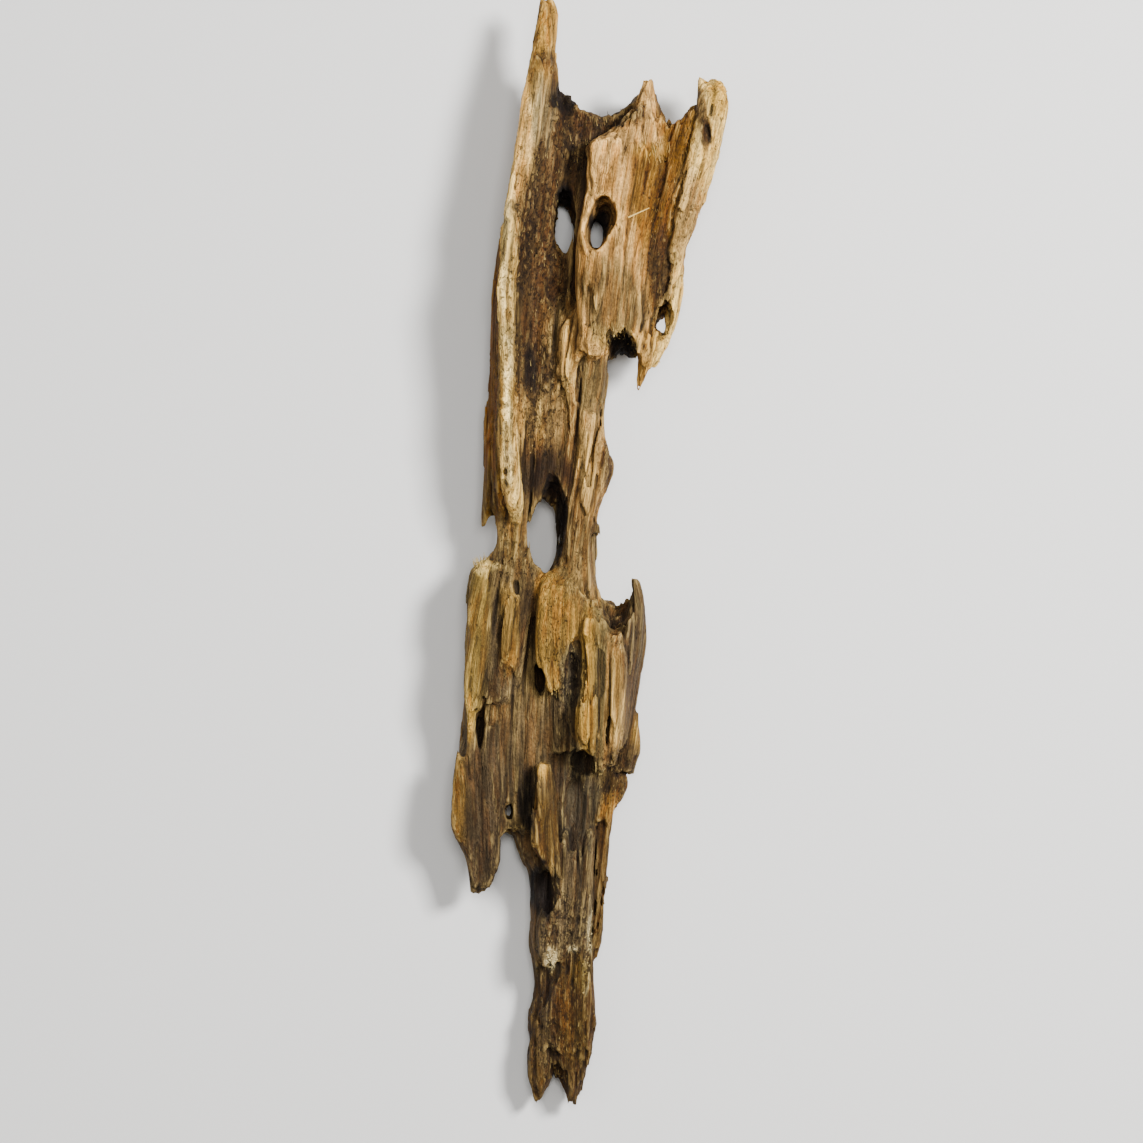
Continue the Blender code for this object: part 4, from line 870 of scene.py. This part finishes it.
def weathered_wood():
    """The fine skin of the wood, with what its finish needs stored on its points."""
    gx, gy, gz = grid_axes()
    field = solid_field(gx, gy, gz)
    near = np.nonzero(np.abs(field) < SKIN_REACH)
    x = gx[near[0]]
    y = gy[near[1]]
    z = gz[near[2]]
    field[near] += relief(x, y, z).astype(np.float32)
    field = np.maximum(field, -gz[None, None, :]).astype(np.float32)

    grid = openvdb.FloatGrid(MARGIN)
    grid.copyFromArray(field)
    points, quads = grid.convertToQuads(0.0)
    origin = np.array([gx[0], gy[0], gz[0]])
    positions = origin + np.asarray(points, float) * np.array(CELL)
    fine = bpy.data.meshes.new("fine_wood")
    fine.from_pydata((positions * MM).tolist(), [], np.asarray(quads)[:, ::-1].tolist())
    wood = add_object("weathered_wood", fine)
    thin_out(wood, MOST_TRIANGLES / (2 * len(quads)))
    mesh = wood.data
    positions = np.empty(3 * len(mesh.vertices))
    mesh.vertices.foreach_get("co", positions)
    positions = positions.reshape(-1, 3) / MM
    places = (positions - origin) / np.array(CELL)
    inside = (field < 0).astype(np.float32)
    store(mesh, "hollow_fine", sample(box_blur(inside, FINE_LOOK), places))
    store(mesh, "hollow_wide", sample(box_blur(inside, WIDE_LOOK), places))
    store_finish(mesh, positions)
    return wood


def thin_out(piece, share):
    """Merges small faces where the skin is plain, and leaves this share of the triangles."""
    modifier = piece.modifiers.new("thin_out", "DECIMATE")
    modifier.ratio = share
    apply_modifier(piece, modifier)


def add_object(name, data):
    """A new object in the scene."""
    thing = bpy.data.objects.new(name, data)
    bpy.context.scene.collection.objects.link(thing)
    return thing


def apply_modifier(piece, modifier):
    """Makes a modifier's result the piece's own plain mesh."""
    depsgraph = bpy.context.evaluated_depsgraph_get()
    mesh = bpy.data.meshes.new_from_object(piece.evaluated_get(depsgraph))
    mesh.name = piece.name
    piece.modifiers.remove(modifier)
    piece.data = mesh


def store(mesh, name, values, kind="FLOAT", field="value"):
    """A number, vector or colour for each point."""
    attribute = mesh.attributes.new(name, kind, "POINT")
    attribute.data.foreach_set(field, np.asarray(values, np.float32).ravel())


def store_finish(mesh, positions):
    """The colour of the strands and patches at each point, and its place along the grain."""
    x, y, z = positions.T
    total = np.zeros(len(x))
    colour = np.zeros((len(x), 3))
    for name, stations in all_strands().items():
        distance = strand_distance(stations, x, y, z)
        weight = np.exp(-np.clip(distance, *COLOUR_DEPTHS) / COLOUR_REACH)
        total += weight
        colour += weight[:, None] * np.array(FINISHES[STRAND_FINISH[name]])
    colour /= total[:, None]
    ragged = ragged_rim(x, y)
    for patch in PATCHES:
        share = patch_share(x, y, ragged, patch[1:])[:, None]
        colour = colour * (1 - share) + share * np.array(FINISHES[patch[0]])
    decay = strongest(DECAY, x, y, ragged)
    above = z > LOWEST_BITS
    store(mesh, "tint", np.hstack([colour, np.ones((len(x), 1))]), "FLOAT_COLOR", "color")
    store(mesh, "grain_place", np.stack([across_grain(x, y), y, z], 1), "FLOAT_VECTOR", "vector")
    store(mesh, "decay", decay)
    store(mesh, "sliver", above * decay)
    store(mesh, "tuft", above * strongest(TUFTS, x, y, TUFT_RAGGED * ragged))
    store(mesh, "crumb", above * strongest(CRUMBS, x, y, CRUMB_RAGGED * ragged))


def new_group(name, inputs, outputs):
    """A shader node group with named sockets, and its input and output nodes."""
    group = bpy.data.node_groups.new(name, "ShaderNodeTree")
    for label, (kind, value) in inputs.items():
        socket = group.interface.new_socket(label, in_out="INPUT", socket_type=kind)
        if value is not None:
            socket.default_value = value
    for label, kind in outputs.items():
        group.interface.new_socket(label, in_out="OUTPUT", socket_type=kind)
    return group, group.nodes.new("NodeGroupInput"), group.nodes.new("NodeGroupOutput")


def set_input(tree, socket, value):
    """Links a socket to another one, or gives it a plain value."""
    if isinstance(value, bpy.types.NodeSocket):
        tree.links.new(value, socket)
    elif value is not None:
        socket.default_value = value


def calculate(tree, operation, first, second=None, third=None, clamp=False):
    """The result of a Math node."""
    node = tree.nodes.new("ShaderNodeMath")
    node.operation = operation
    node.use_clamp = clamp
    for socket, value in zip(node.inputs, (first, second, third)):
        set_input(tree, socket, value)
    return node.outputs[0]


def spread(tree, value, low, high, out_low=0.0, out_high=1.0):
    """A value stretched from one range to another and held inside it."""
    node = tree.nodes.new("ShaderNodeMapRange")
    node.interpolation_type = "SMOOTHSTEP"
    for label, number in (("Value", value), ("From Min", low), ("From Max", high),
                          ("To Min", out_low), ("To Max", out_high)):
        set_input(tree, node.inputs[label], number)
    return node.outputs["Result"]


def mix_colour(tree, share, first, second, blend="MIX"):
    """Two colours mixed by a share."""
    node = tree.nodes.new("ShaderNodeMix")
    node.data_type = "RGBA"
    node.blend_type = blend
    set_input(tree, node.inputs["Factor"], share)
    set_input(tree, node.inputs[6], first)
    set_input(tree, node.inputs[7], second)
    return node.outputs[2]


def stretched(tree, place, scale):
    """A place scaled along each axis."""
    node = tree.nodes.new("ShaderNodeVectorMath")
    node.operation = "MULTIPLY"
    set_input(tree, node.inputs[0], place)
    set_input(tree, node.inputs[1], scale)
    return node.outputs[0]


def cloud(tree, place, layers=2.0, roughness=0.55, distortion=0.0):
    """Noise at a place, from 0 to 1."""
    node = tree.nodes.new("ShaderNodeTexNoise")
    set_input(tree, node.inputs["Vector"], place)
    node.inputs["Scale"].default_value = 1.0
    node.inputs["Detail"].default_value = layers
    node.inputs["Roughness"].default_value = roughness
    node.inputs["Distortion"].default_value = distortion
    return node.outputs["Fac"]


def colour(name):
    """A finish's colour with full cover."""
    return tuple(channel**DISPLAY_GAMMA for channel in FINISHES[name]) + (1.0,)


def grain_group():
    """Streaks along the grain: broad ones, fine fibres and thin dark cracks."""
    group, given, result = new_group(
        "grain", {"Place": ("NodeSocketVector", None), "Width": ("NodeSocketFloat", 1.2),
                  "Length": ("NodeSocketFloat", 18.0)},
        {"Streak": "NodeSocketFloat", "Fibre": "NodeSocketFloat", "Crack": "NodeSocketFloat"})
    across = calculate(group, "DIVIDE", 1.0, given.outputs["Width"])
    along = calculate(group, "DIVIDE", 1.0, given.outputs["Length"])
    scale = group.nodes.new("ShaderNodeCombineXYZ")
    set_input(group, scale.inputs[0], across)
    set_input(group, scale.inputs[1], along)
    set_input(group, scale.inputs[2], across)
    place = stretched(group, given.outputs["Place"], scale.outputs[0])
    streak = cloud(group, place, layers=3.0, roughness=0.6, distortion=0.2)
    fibre = cloud(group, stretched(group, place, FIBRE_STRETCH), layers=2.0, roughness=0.6)
    crack = cloud(group, stretched(group, place, CRACK_STRETCH), layers=2.0, roughness=0.5,
                  distortion=0.3)
    narrow = calculate(group, "ABSOLUTE", calculate(group, "SUBTRACT", crack, CRACK_LEVEL))
    set_input(group, result.inputs["Streak"], spread(group, streak, *STREAK_EDGES))
    set_input(group, result.inputs["Fibre"], spread(group, fibre, *FIBRE_EDGES))
    set_input(group, result.inputs["Crack"], spread(group, narrow, 0.0, CRACK_WIDTH, 1.0, 0.0))
    return group


def wear_and_shade_group():
    """Where the skin stands proud, which pales as bleaching and painted highlight, and where it
    sinks, which darkens as dirt and painted shade.
    """
    group, given, result = new_group(
        "wear_and_shade", {"Fine": ("NodeSocketFloat", 0.5), "Wide": ("NodeSocketFloat", 0.5),
                 "Ragged": ("NodeSocketFloat", 0.5)},
        {"Crest": "NodeSocketFloat", "Hollow": "NodeSocketFloat"})
    centred = calculate(group, "SUBTRACT", given.outputs["Ragged"], 0.5)
    wobble = calculate(group, "MULTIPLY", centred, WEAR_WOBBLE)
    fine = calculate(group, "ADD", given.outputs["Fine"], wobble)
    wide = calculate(group, "ADD", given.outputs["Wide"], wobble)
    crest = spread(group, fine, *CREST_EDGES, 1.0, 0.0)
    sunk = spread(group, fine, *SUNK_EDGES)
    deep = spread(group, wide, *DEEP_EDGES)
    set_input(group, result.inputs["Crest"], crest)
    set_input(group, result.inputs["Hollow"], calculate(group, "MAXIMUM", sunk, deep))
    return group


def speck_group():
    """Scattered specks of one size, over a share of the surface."""
    group, given, result = new_group(
        "specks", {"Place": ("NodeSocketVector", None), "Size": ("NodeSocketFloat", 0.6),
                   "Share": ("NodeSocketFloat", 0.3)},
        {"Mask": "NodeSocketFloat"})
    scale = calculate(group, "DIVIDE", 1.0, given.outputs["Size"])
    grown = group.nodes.new("ShaderNodeVectorMath")
    grown.operation = "SCALE"
    set_input(group, grown.inputs[0], given.outputs["Place"])
    set_input(group, grown.inputs["Scale"], scale)
    value = cloud(group, stretched(group, grown.outputs[0], SPECK_STRETCH), layers=2.0,
                  roughness=0.65, distortion=0.5)
    level = calculate(group, "MULTIPLY_ADD", given.outputs["Share"], SPECK_SPAN, SPECK_TOP)
    above = calculate(group, "SUBTRACT", value, level)
    set_input(group, result.inputs["Mask"], spread(group, above, 0.0, SPECK_EDGE))
    return group


def use_group(tree, group, **values):
    """A group placed in a tree with its values."""
    node = tree.nodes.new("ShaderNodeGroup")
    node.node_tree = group
    for label, value in values.items():
        set_input(tree, node.inputs[label], value)
    return node.outputs


def read_attribute(tree, name, output="Fac"):
    """A value stored on the piece's points."""
    node = tree.nodes.new("ShaderNodeAttribute")
    node.attribute_name = name
    return node.outputs[output]


def product(tree, *values):
    """All the values multiplied together."""
    total = values[0]
    for value in values[1:]:
        total = calculate(tree, "MULTIPLY", total, value)
    return total


def by_decay(tree, decay, sound, change):
    """A value on sound wood, with what decay adds to it."""
    return calculate(tree, "MULTIPLY_ADD", decay, change, sound)


def new_material(name):
    """A material with its nodes and its shader."""
    material = bpy.data.materials.new(name)
    material.use_nodes = True
    tree = material.node_tree
    return material, tree, tree.nodes["Principled BSDF"]


def wood_tint(tree):
    """The colour stored on the points, turned from display values to light."""
    tint = tree.nodes.new("ShaderNodeGamma")
    tint.inputs["Gamma"].default_value = DISPLAY_GAMMA
    set_input(tree, tint.inputs["Color"], read_attribute(tree, "tint", "Color"))
    return tint.outputs[0]


def wood_material(grain, wear_and_shade, specks):
    """Dry weathered wood: streaked tints, crests paled as bleaching and painted highlight, hollows
    darkened with dirt and painted shade, and crumbly decay.
    """
    material, tree, shader = new_material("weathered_wood")
    place = read_attribute(tree, "grain_place", "Vector")
    decay = read_attribute(tree, "decay")
    tint = wood_tint(tree)

    streaks = use_group(tree, grain, Place=place, **STREAKS)
    broad = use_group(tree, grain, Place=place, **BROAD_STREAKS)
    grit = cloud(tree, stretched(tree, place, GRIT_STRETCH), layers=2.0, roughness=0.7)
    worn_and_shaded = use_group(tree, wear_and_shade, Fine=read_attribute(tree, "hollow_fine"),
                     Wide=read_attribute(tree, "hollow_wide"), Ragged=streaks["Fibre"])

    warm = product(tree, spread(tree, broad["Fibre"], *WARM_EDGES), WARMTH)
    base = mix_colour(tree, warm, tint, colour("gold"), "SOFT_LIGHT")
    streak_shade = [by_decay(tree, decay, *pair) for pair in (STREAK_DARKEST, STREAK_LIGHTEST)]
    grit_shade = [by_decay(tree, decay, *pair) for pair in (GRIT_DARKEST, GRIT_LIGHTEST)]
    shade = product(tree, spread(tree, broad["Streak"], 0.0, 1.0, *BROAD_SHADE),
                    spread(tree, streaks["Streak"], 0.0, 1.0, *streak_shade),
                    spread(tree, streaks["Fibre"], 0.0, 1.0, *FIBRE_SHADE),
                    spread(tree, grit, *GRIT_EDGES, *grit_shade))
    grey = tree.nodes.new("ShaderNodeCombineColor")
    for socket in grey.inputs:
        set_input(tree, socket, shade)
    base = mix_colour(tree, 1.0, base, grey.outputs[0], "MULTIPLY")

    # Crests pale: partly bleached wood, partly a painted highlight.
    pale = product(tree, worn_and_shaded["Crest"],
                   spread(tree, streaks["Streak"], *PALE_EDGES, *CREST_BLEACH_AND_HIGHLIGHT))
    lighter = mix_colour(tree, 1.0, tint, CREST_LIGHT, "MULTIPLY")
    brightness = tree.nodes.new("ShaderNodeRGBToBW")
    set_input(tree, brightness.inputs["Color"], tint)
    bleach = calculate(tree, "MULTIPLY", brightness.outputs[0], BLEACH_BRIGHTNESS, clamp=True)
    lighter = mix_colour(tree, product(tree, bleach, BLEACH), lighter, colour("bleached"))
    base = mix_colour(tree, pale, base, lighter)
    # Hollows darken: partly dirt, partly painted shade.
    base = mix_colour(tree, product(tree, worn_and_shaded["Hollow"], HOLLOW_SHADE_AND_DIRT), base, colour("dirt_and_shade"))
    dark = use_group(tree, specks, Place=place, Size=DARK_SPECK_SIZE,
                     Share=by_decay(tree, decay, *DARK_SPECK_SHARE))["Mask"]
    base = mix_colour(tree, product(tree, dark, DARK_SPECKS), base, colour("dirt_and_shade"))
    light = use_group(tree, specks, Place=stretched(tree, place, LIGHT_SPECK_STRETCH),
                      Size=LIGHT_SPECK_SIZE,
                      Share=by_decay(tree, decay, *LIGHT_SPECK_SHARE))["Mask"]
    base = mix_colour(tree, product(tree, light, LIGHT_SPECKS), base, lighter)
    cracked = product(tree, streaks["Crack"], by_decay(tree, decay, *CRACK_STRENGTH))
    base = mix_colour(tree, cracked, base, colour("dirt_and_shade"))
    rough = spread(tree, streaks["Streak"], 0.0, 1.0, *WOOD_ROUGHNESS)
    set_input(tree, shader.inputs["Base Color"], base)
    set_input(tree, shader.inputs["Roughness"], rough)
    shader.inputs["Specular IOR Level"].default_value = DRY_SPECULAR

    bump = tree.nodes.new("ShaderNodeBump")
    bump.inputs["Strength"].default_value = BUMP_STRENGTH
    bump.inputs["Distance"].default_value = BUMP_DEPTH * MM
    height = streaks["Streak"]
    parts = {"Fibre": streaks["Fibre"], "Grit": grit, "Crack": streaks["Crack"], "Dark": dark}
    for part, strength in BUMP_PARTS.items():
        height = calculate(tree, "MULTIPLY_ADD", parts[part], strength, height)
    set_input(tree, bump.inputs["Height"], height)
    set_input(tree, shader.inputs["Normal"], bump.outputs["Normal"])
    return material


def fibre_material(grain, specks):
    """Loose bits: the tint of the wood below them, bleached by the light."""
    material, tree, shader = new_material("pale_fibre")
    place = tree.nodes.new("ShaderNodeTexCoord").outputs["Object"]
    place = stretched(tree, place, (1 / MM,) * 3)
    streaks = use_group(tree, grain, Place=place, **FIBRE_STREAKS)
    pale = spread(tree, streaks["Streak"], 0.0, 1.0, *FIBRE_PALENESS)
    base = mix_colour(tree, pale, wood_tint(tree), colour("bleached"))
    dark = use_group(tree, specks, Place=place, **FIBRE_SPECKS)["Mask"]
    base = mix_colour(tree, product(tree, dark, FIBRE_DIRT), base, colour("umber"))
    set_input(tree, shader.inputs["Base Color"], base)
    shader.inputs["Roughness"].default_value = BIT_ROUGHNESS
    shader.inputs["Specular IOR Level"].default_value = DRY_SPECULAR
    return material


def scatter_group():
    """Small tapered bits scattered over a surface, as dense as a stored value says."""
    group = bpy.data.node_groups.new("scatter", "GeometryNodeTree")
    for label, kind in (("Geometry", "NodeSocketGeometry"), ("Cover", "NodeSocketString"),
                        ("Density", "NodeSocketFloat"), ("Smallest", "NodeSocketVector"),
                        ("Largest", "NodeSocketVector"), ("Lowest Turn", "NodeSocketVector"),
                        ("Highest Turn", "NodeSocketVector"), ("Tip", "NodeSocketFloat"),
                        ("Seed", "NodeSocketInt"), ("Material", "NodeSocketMaterial")):
        group.interface.new_socket(label, in_out="INPUT", socket_type=kind)
    group.interface.new_socket("Geometry", in_out="OUTPUT", socket_type="NodeSocketGeometry")
    given = group.nodes.new("NodeGroupInput").outputs
    result = group.nodes.new("NodeGroupOutput")

    cover = group.nodes.new("GeometryNodeInputNamedAttribute")
    cover.data_type = "FLOAT"
    set_input(group, cover.inputs["Name"], given["Cover"])
    density = calculate(group, "MULTIPLY", cover.outputs["Attribute"], given["Density"])
    points = group.nodes.new("GeometryNodeDistributePointsOnFaces")
    set_input(group, points.inputs["Mesh"], given["Geometry"])
    set_input(group, points.inputs["Density"], density)
    set_input(group, points.inputs["Seed"], given["Seed"])

    bit = group.nodes.new("GeometryNodeMeshCone")
    bit.inputs["Vertices"].default_value = BIT_SIDES
    bit.inputs["Depth"].default_value = 1.0
    bit.inputs["Radius Bottom"].default_value = 1.0
    set_input(group, bit.inputs["Radius Top"], given["Tip"])
    sunk = group.nodes.new("GeometryNodeTransform")
    sunk.inputs["Translation"].default_value = (0, 0, -BIT_SUNK)
    set_input(group, sunk.inputs["Geometry"], bit.outputs["Mesh"])

    random = []
    for low, high in (("Smallest", "Largest"), ("Lowest Turn", "Highest Turn")):
        node = group.nodes.new("FunctionNodeRandomValue")
        node.data_type = "FLOAT_VECTOR"
        set_input(group, node.inputs[0], given[low])
        set_input(group, node.inputs[1], given[high])
        set_input(group, node.inputs["Seed"], given["Seed"])
        random.append(node.outputs[0])
    turn = group.nodes.new("FunctionNodeEulerToRotation")
    set_input(group, turn.inputs[0], random[1])
    placed = group.nodes.new("GeometryNodeInstanceOnPoints")
    set_input(group, placed.inputs["Points"], points.outputs["Points"])
    set_input(group, placed.inputs["Instance"], sunk.outputs["Geometry"])
    set_input(group, placed.inputs["Rotation"], turn.outputs[0])
    set_input(group, placed.inputs["Scale"], random[0])
    real = group.nodes.new("GeometryNodeRealizeInstances")
    set_input(group, real.inputs["Geometry"], placed.outputs["Instances"])
    dressed = group.nodes.new("GeometryNodeSetMaterial")
    set_input(group, dressed.inputs["Geometry"], real.outputs["Geometry"])
    set_input(group, dressed.inputs["Material"], given["Material"])
    set_input(group, result.inputs["Geometry"], dressed.outputs["Geometry"])
    return group


def scatter(name, wood, group, settings):
    """A plain mesh of bits scattered over the wood."""
    holder = add_object(name, wood.data.copy())
    modifier = holder.modifiers.new("scatter", "NODES")
    modifier.node_group = group
    for socket in group.interface.items_tree:
        if socket.in_out == "INPUT" and socket.name in settings:
            modifier[socket.identifier] = settings[socket.name]
    apply_modifier(holder, modifier)
    return holder


def loose_fibre(material):
    """One long pale fibre that lies across the plate."""
    start, end = [Vector(point) * MM for point in LOOSE_FIBRE_ENDS]
    radius = LOOSE_FIBRE_RADIUS * MM
    along = (end - start).to_track_quat("Z", "Y").to_matrix().to_4x4()
    mesh = bpy.data.meshes.new("loose_fibre")
    shape = bmesh.new()
    bmesh.ops.create_cone(shape, cap_ends=True, segments=LOOSE_FIBRE_SIDES, radius1=radius,
                          radius2=radius / 2, depth=(end - start).length,
                          matrix=Matrix.Translation((start + end) / 2) @ along)
    shape.to_mesh(mesh)
    shape.free()
    mesh.materials.append(material)
    store(mesh, "tint", (FINISHES["straw"] + (1.0,)) * len(mesh.vertices), "FLOAT_COLOR", "color")
    return add_object("loose_fibre", mesh)


def make_bits(wood, material):
    """Slivers, tufts and crumbs on the wood."""
    group = scatter_group()
    kinds = (("slivers", "sliver", SLIVER_DENSITY, SLIVER_SIZES, ALONG_GRAIN, SLIVER_TIP),
             ("tufts", "tuft", TUFT_DENSITY, TUFT_SIZES, ALONG_GRAIN, TUFT_TIP),
             ("crumbs", "crumb", CRUMB_DENSITY, CRUMB_SIZES, ANY_WAY, CRUMB_TIP))
    bits = []
    for seed, (name, cover, density, sizes, turns, tip) in enumerate(kinds):
        smallest, largest = [tuple(v * MM for v in size) for size in sizes]
        bits.append(scatter(name, wood, group, {
            "Cover": cover, "Density": density, "Smallest": smallest, "Largest": largest,
            "Lowest Turn": turns[0], "Highest Turn": turns[1], "Tip": tip,
            "Seed": SEED + seed, "Material": material}))
    bits.append(loose_fibre(material))
    return bits


def make_camera():
    """Looks straight down, so that each millimetre of wood has its size in the photograph."""
    data = bpy.data.cameras.new("camera")
    camera = add_object("camera", data)
    width = FRAME_SIDE / PIXELS_PER_MM * MM
    data.sensor_width = SENSOR_WIDTH
    data.lens = SENSOR_WIDTH * CAMERA_DISTANCE / width
    middle = FRAME_SIDE / 2
    x = (middle - ORIGIN_PIXEL[0]) / PIXELS_PER_MM * MM
    y = (ORIGIN_PIXEL[1] - middle) / PIXELS_PER_MM * MM
    camera.location = (x, y, CAMERA_DISTANCE + cad_high.z / 2)
    bpy.context.scene.camera = camera


def make_floor():
    """A plain pale floor."""
    bpy.ops.mesh.primitive_plane_add(size=FLOOR_SIDE, location=(0, 0, 0))
    floor = bpy.context.object
    floor.name = "floor"
    material, _, shader = new_material("floor")
    shader.inputs["Base Color"].default_value = FLOOR_COLOUR
    shader.inputs["Roughness"].default_value = FLOOR_ROUGHNESS
    floor.data.materials.append(material)


def make_lights():
    """A soft key from the right, a fill from the left and one from above into the holes."""
    for name, light in LIGHTS.items():
        data = bpy.data.lights.new(name, "AREA")
        data.size = light["size"]
        data.energy = light["power"]
        lamp = add_object(name, data)
        lamp.location = light["place"]
        lamp.rotation_euler = (-Vector(light["place"])).to_track_quat("-Z", "Y").to_euler()
    world = bpy.data.worlds.new("studio")
    world.use_nodes = True
    background = world.node_tree.nodes["Background"]
    background.inputs["Color"].default_value = SKY_COLOUR
    background.inputs["Strength"].default_value = SKY_STRENGTH
    bpy.context.scene.world = world


make_camera()
make_floor()
make_lights()
grain = grain_group()
specks = speck_group()
wood = weathered_wood()
bits = make_bits(wood, fibre_material(grain, specks))
wood.data.materials.append(wood_material(grain, wear_and_shade_group(), specks))
wood.data.shade_smooth()
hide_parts(NODE)
for piece in [wood] + bits:
    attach(piece, "root")
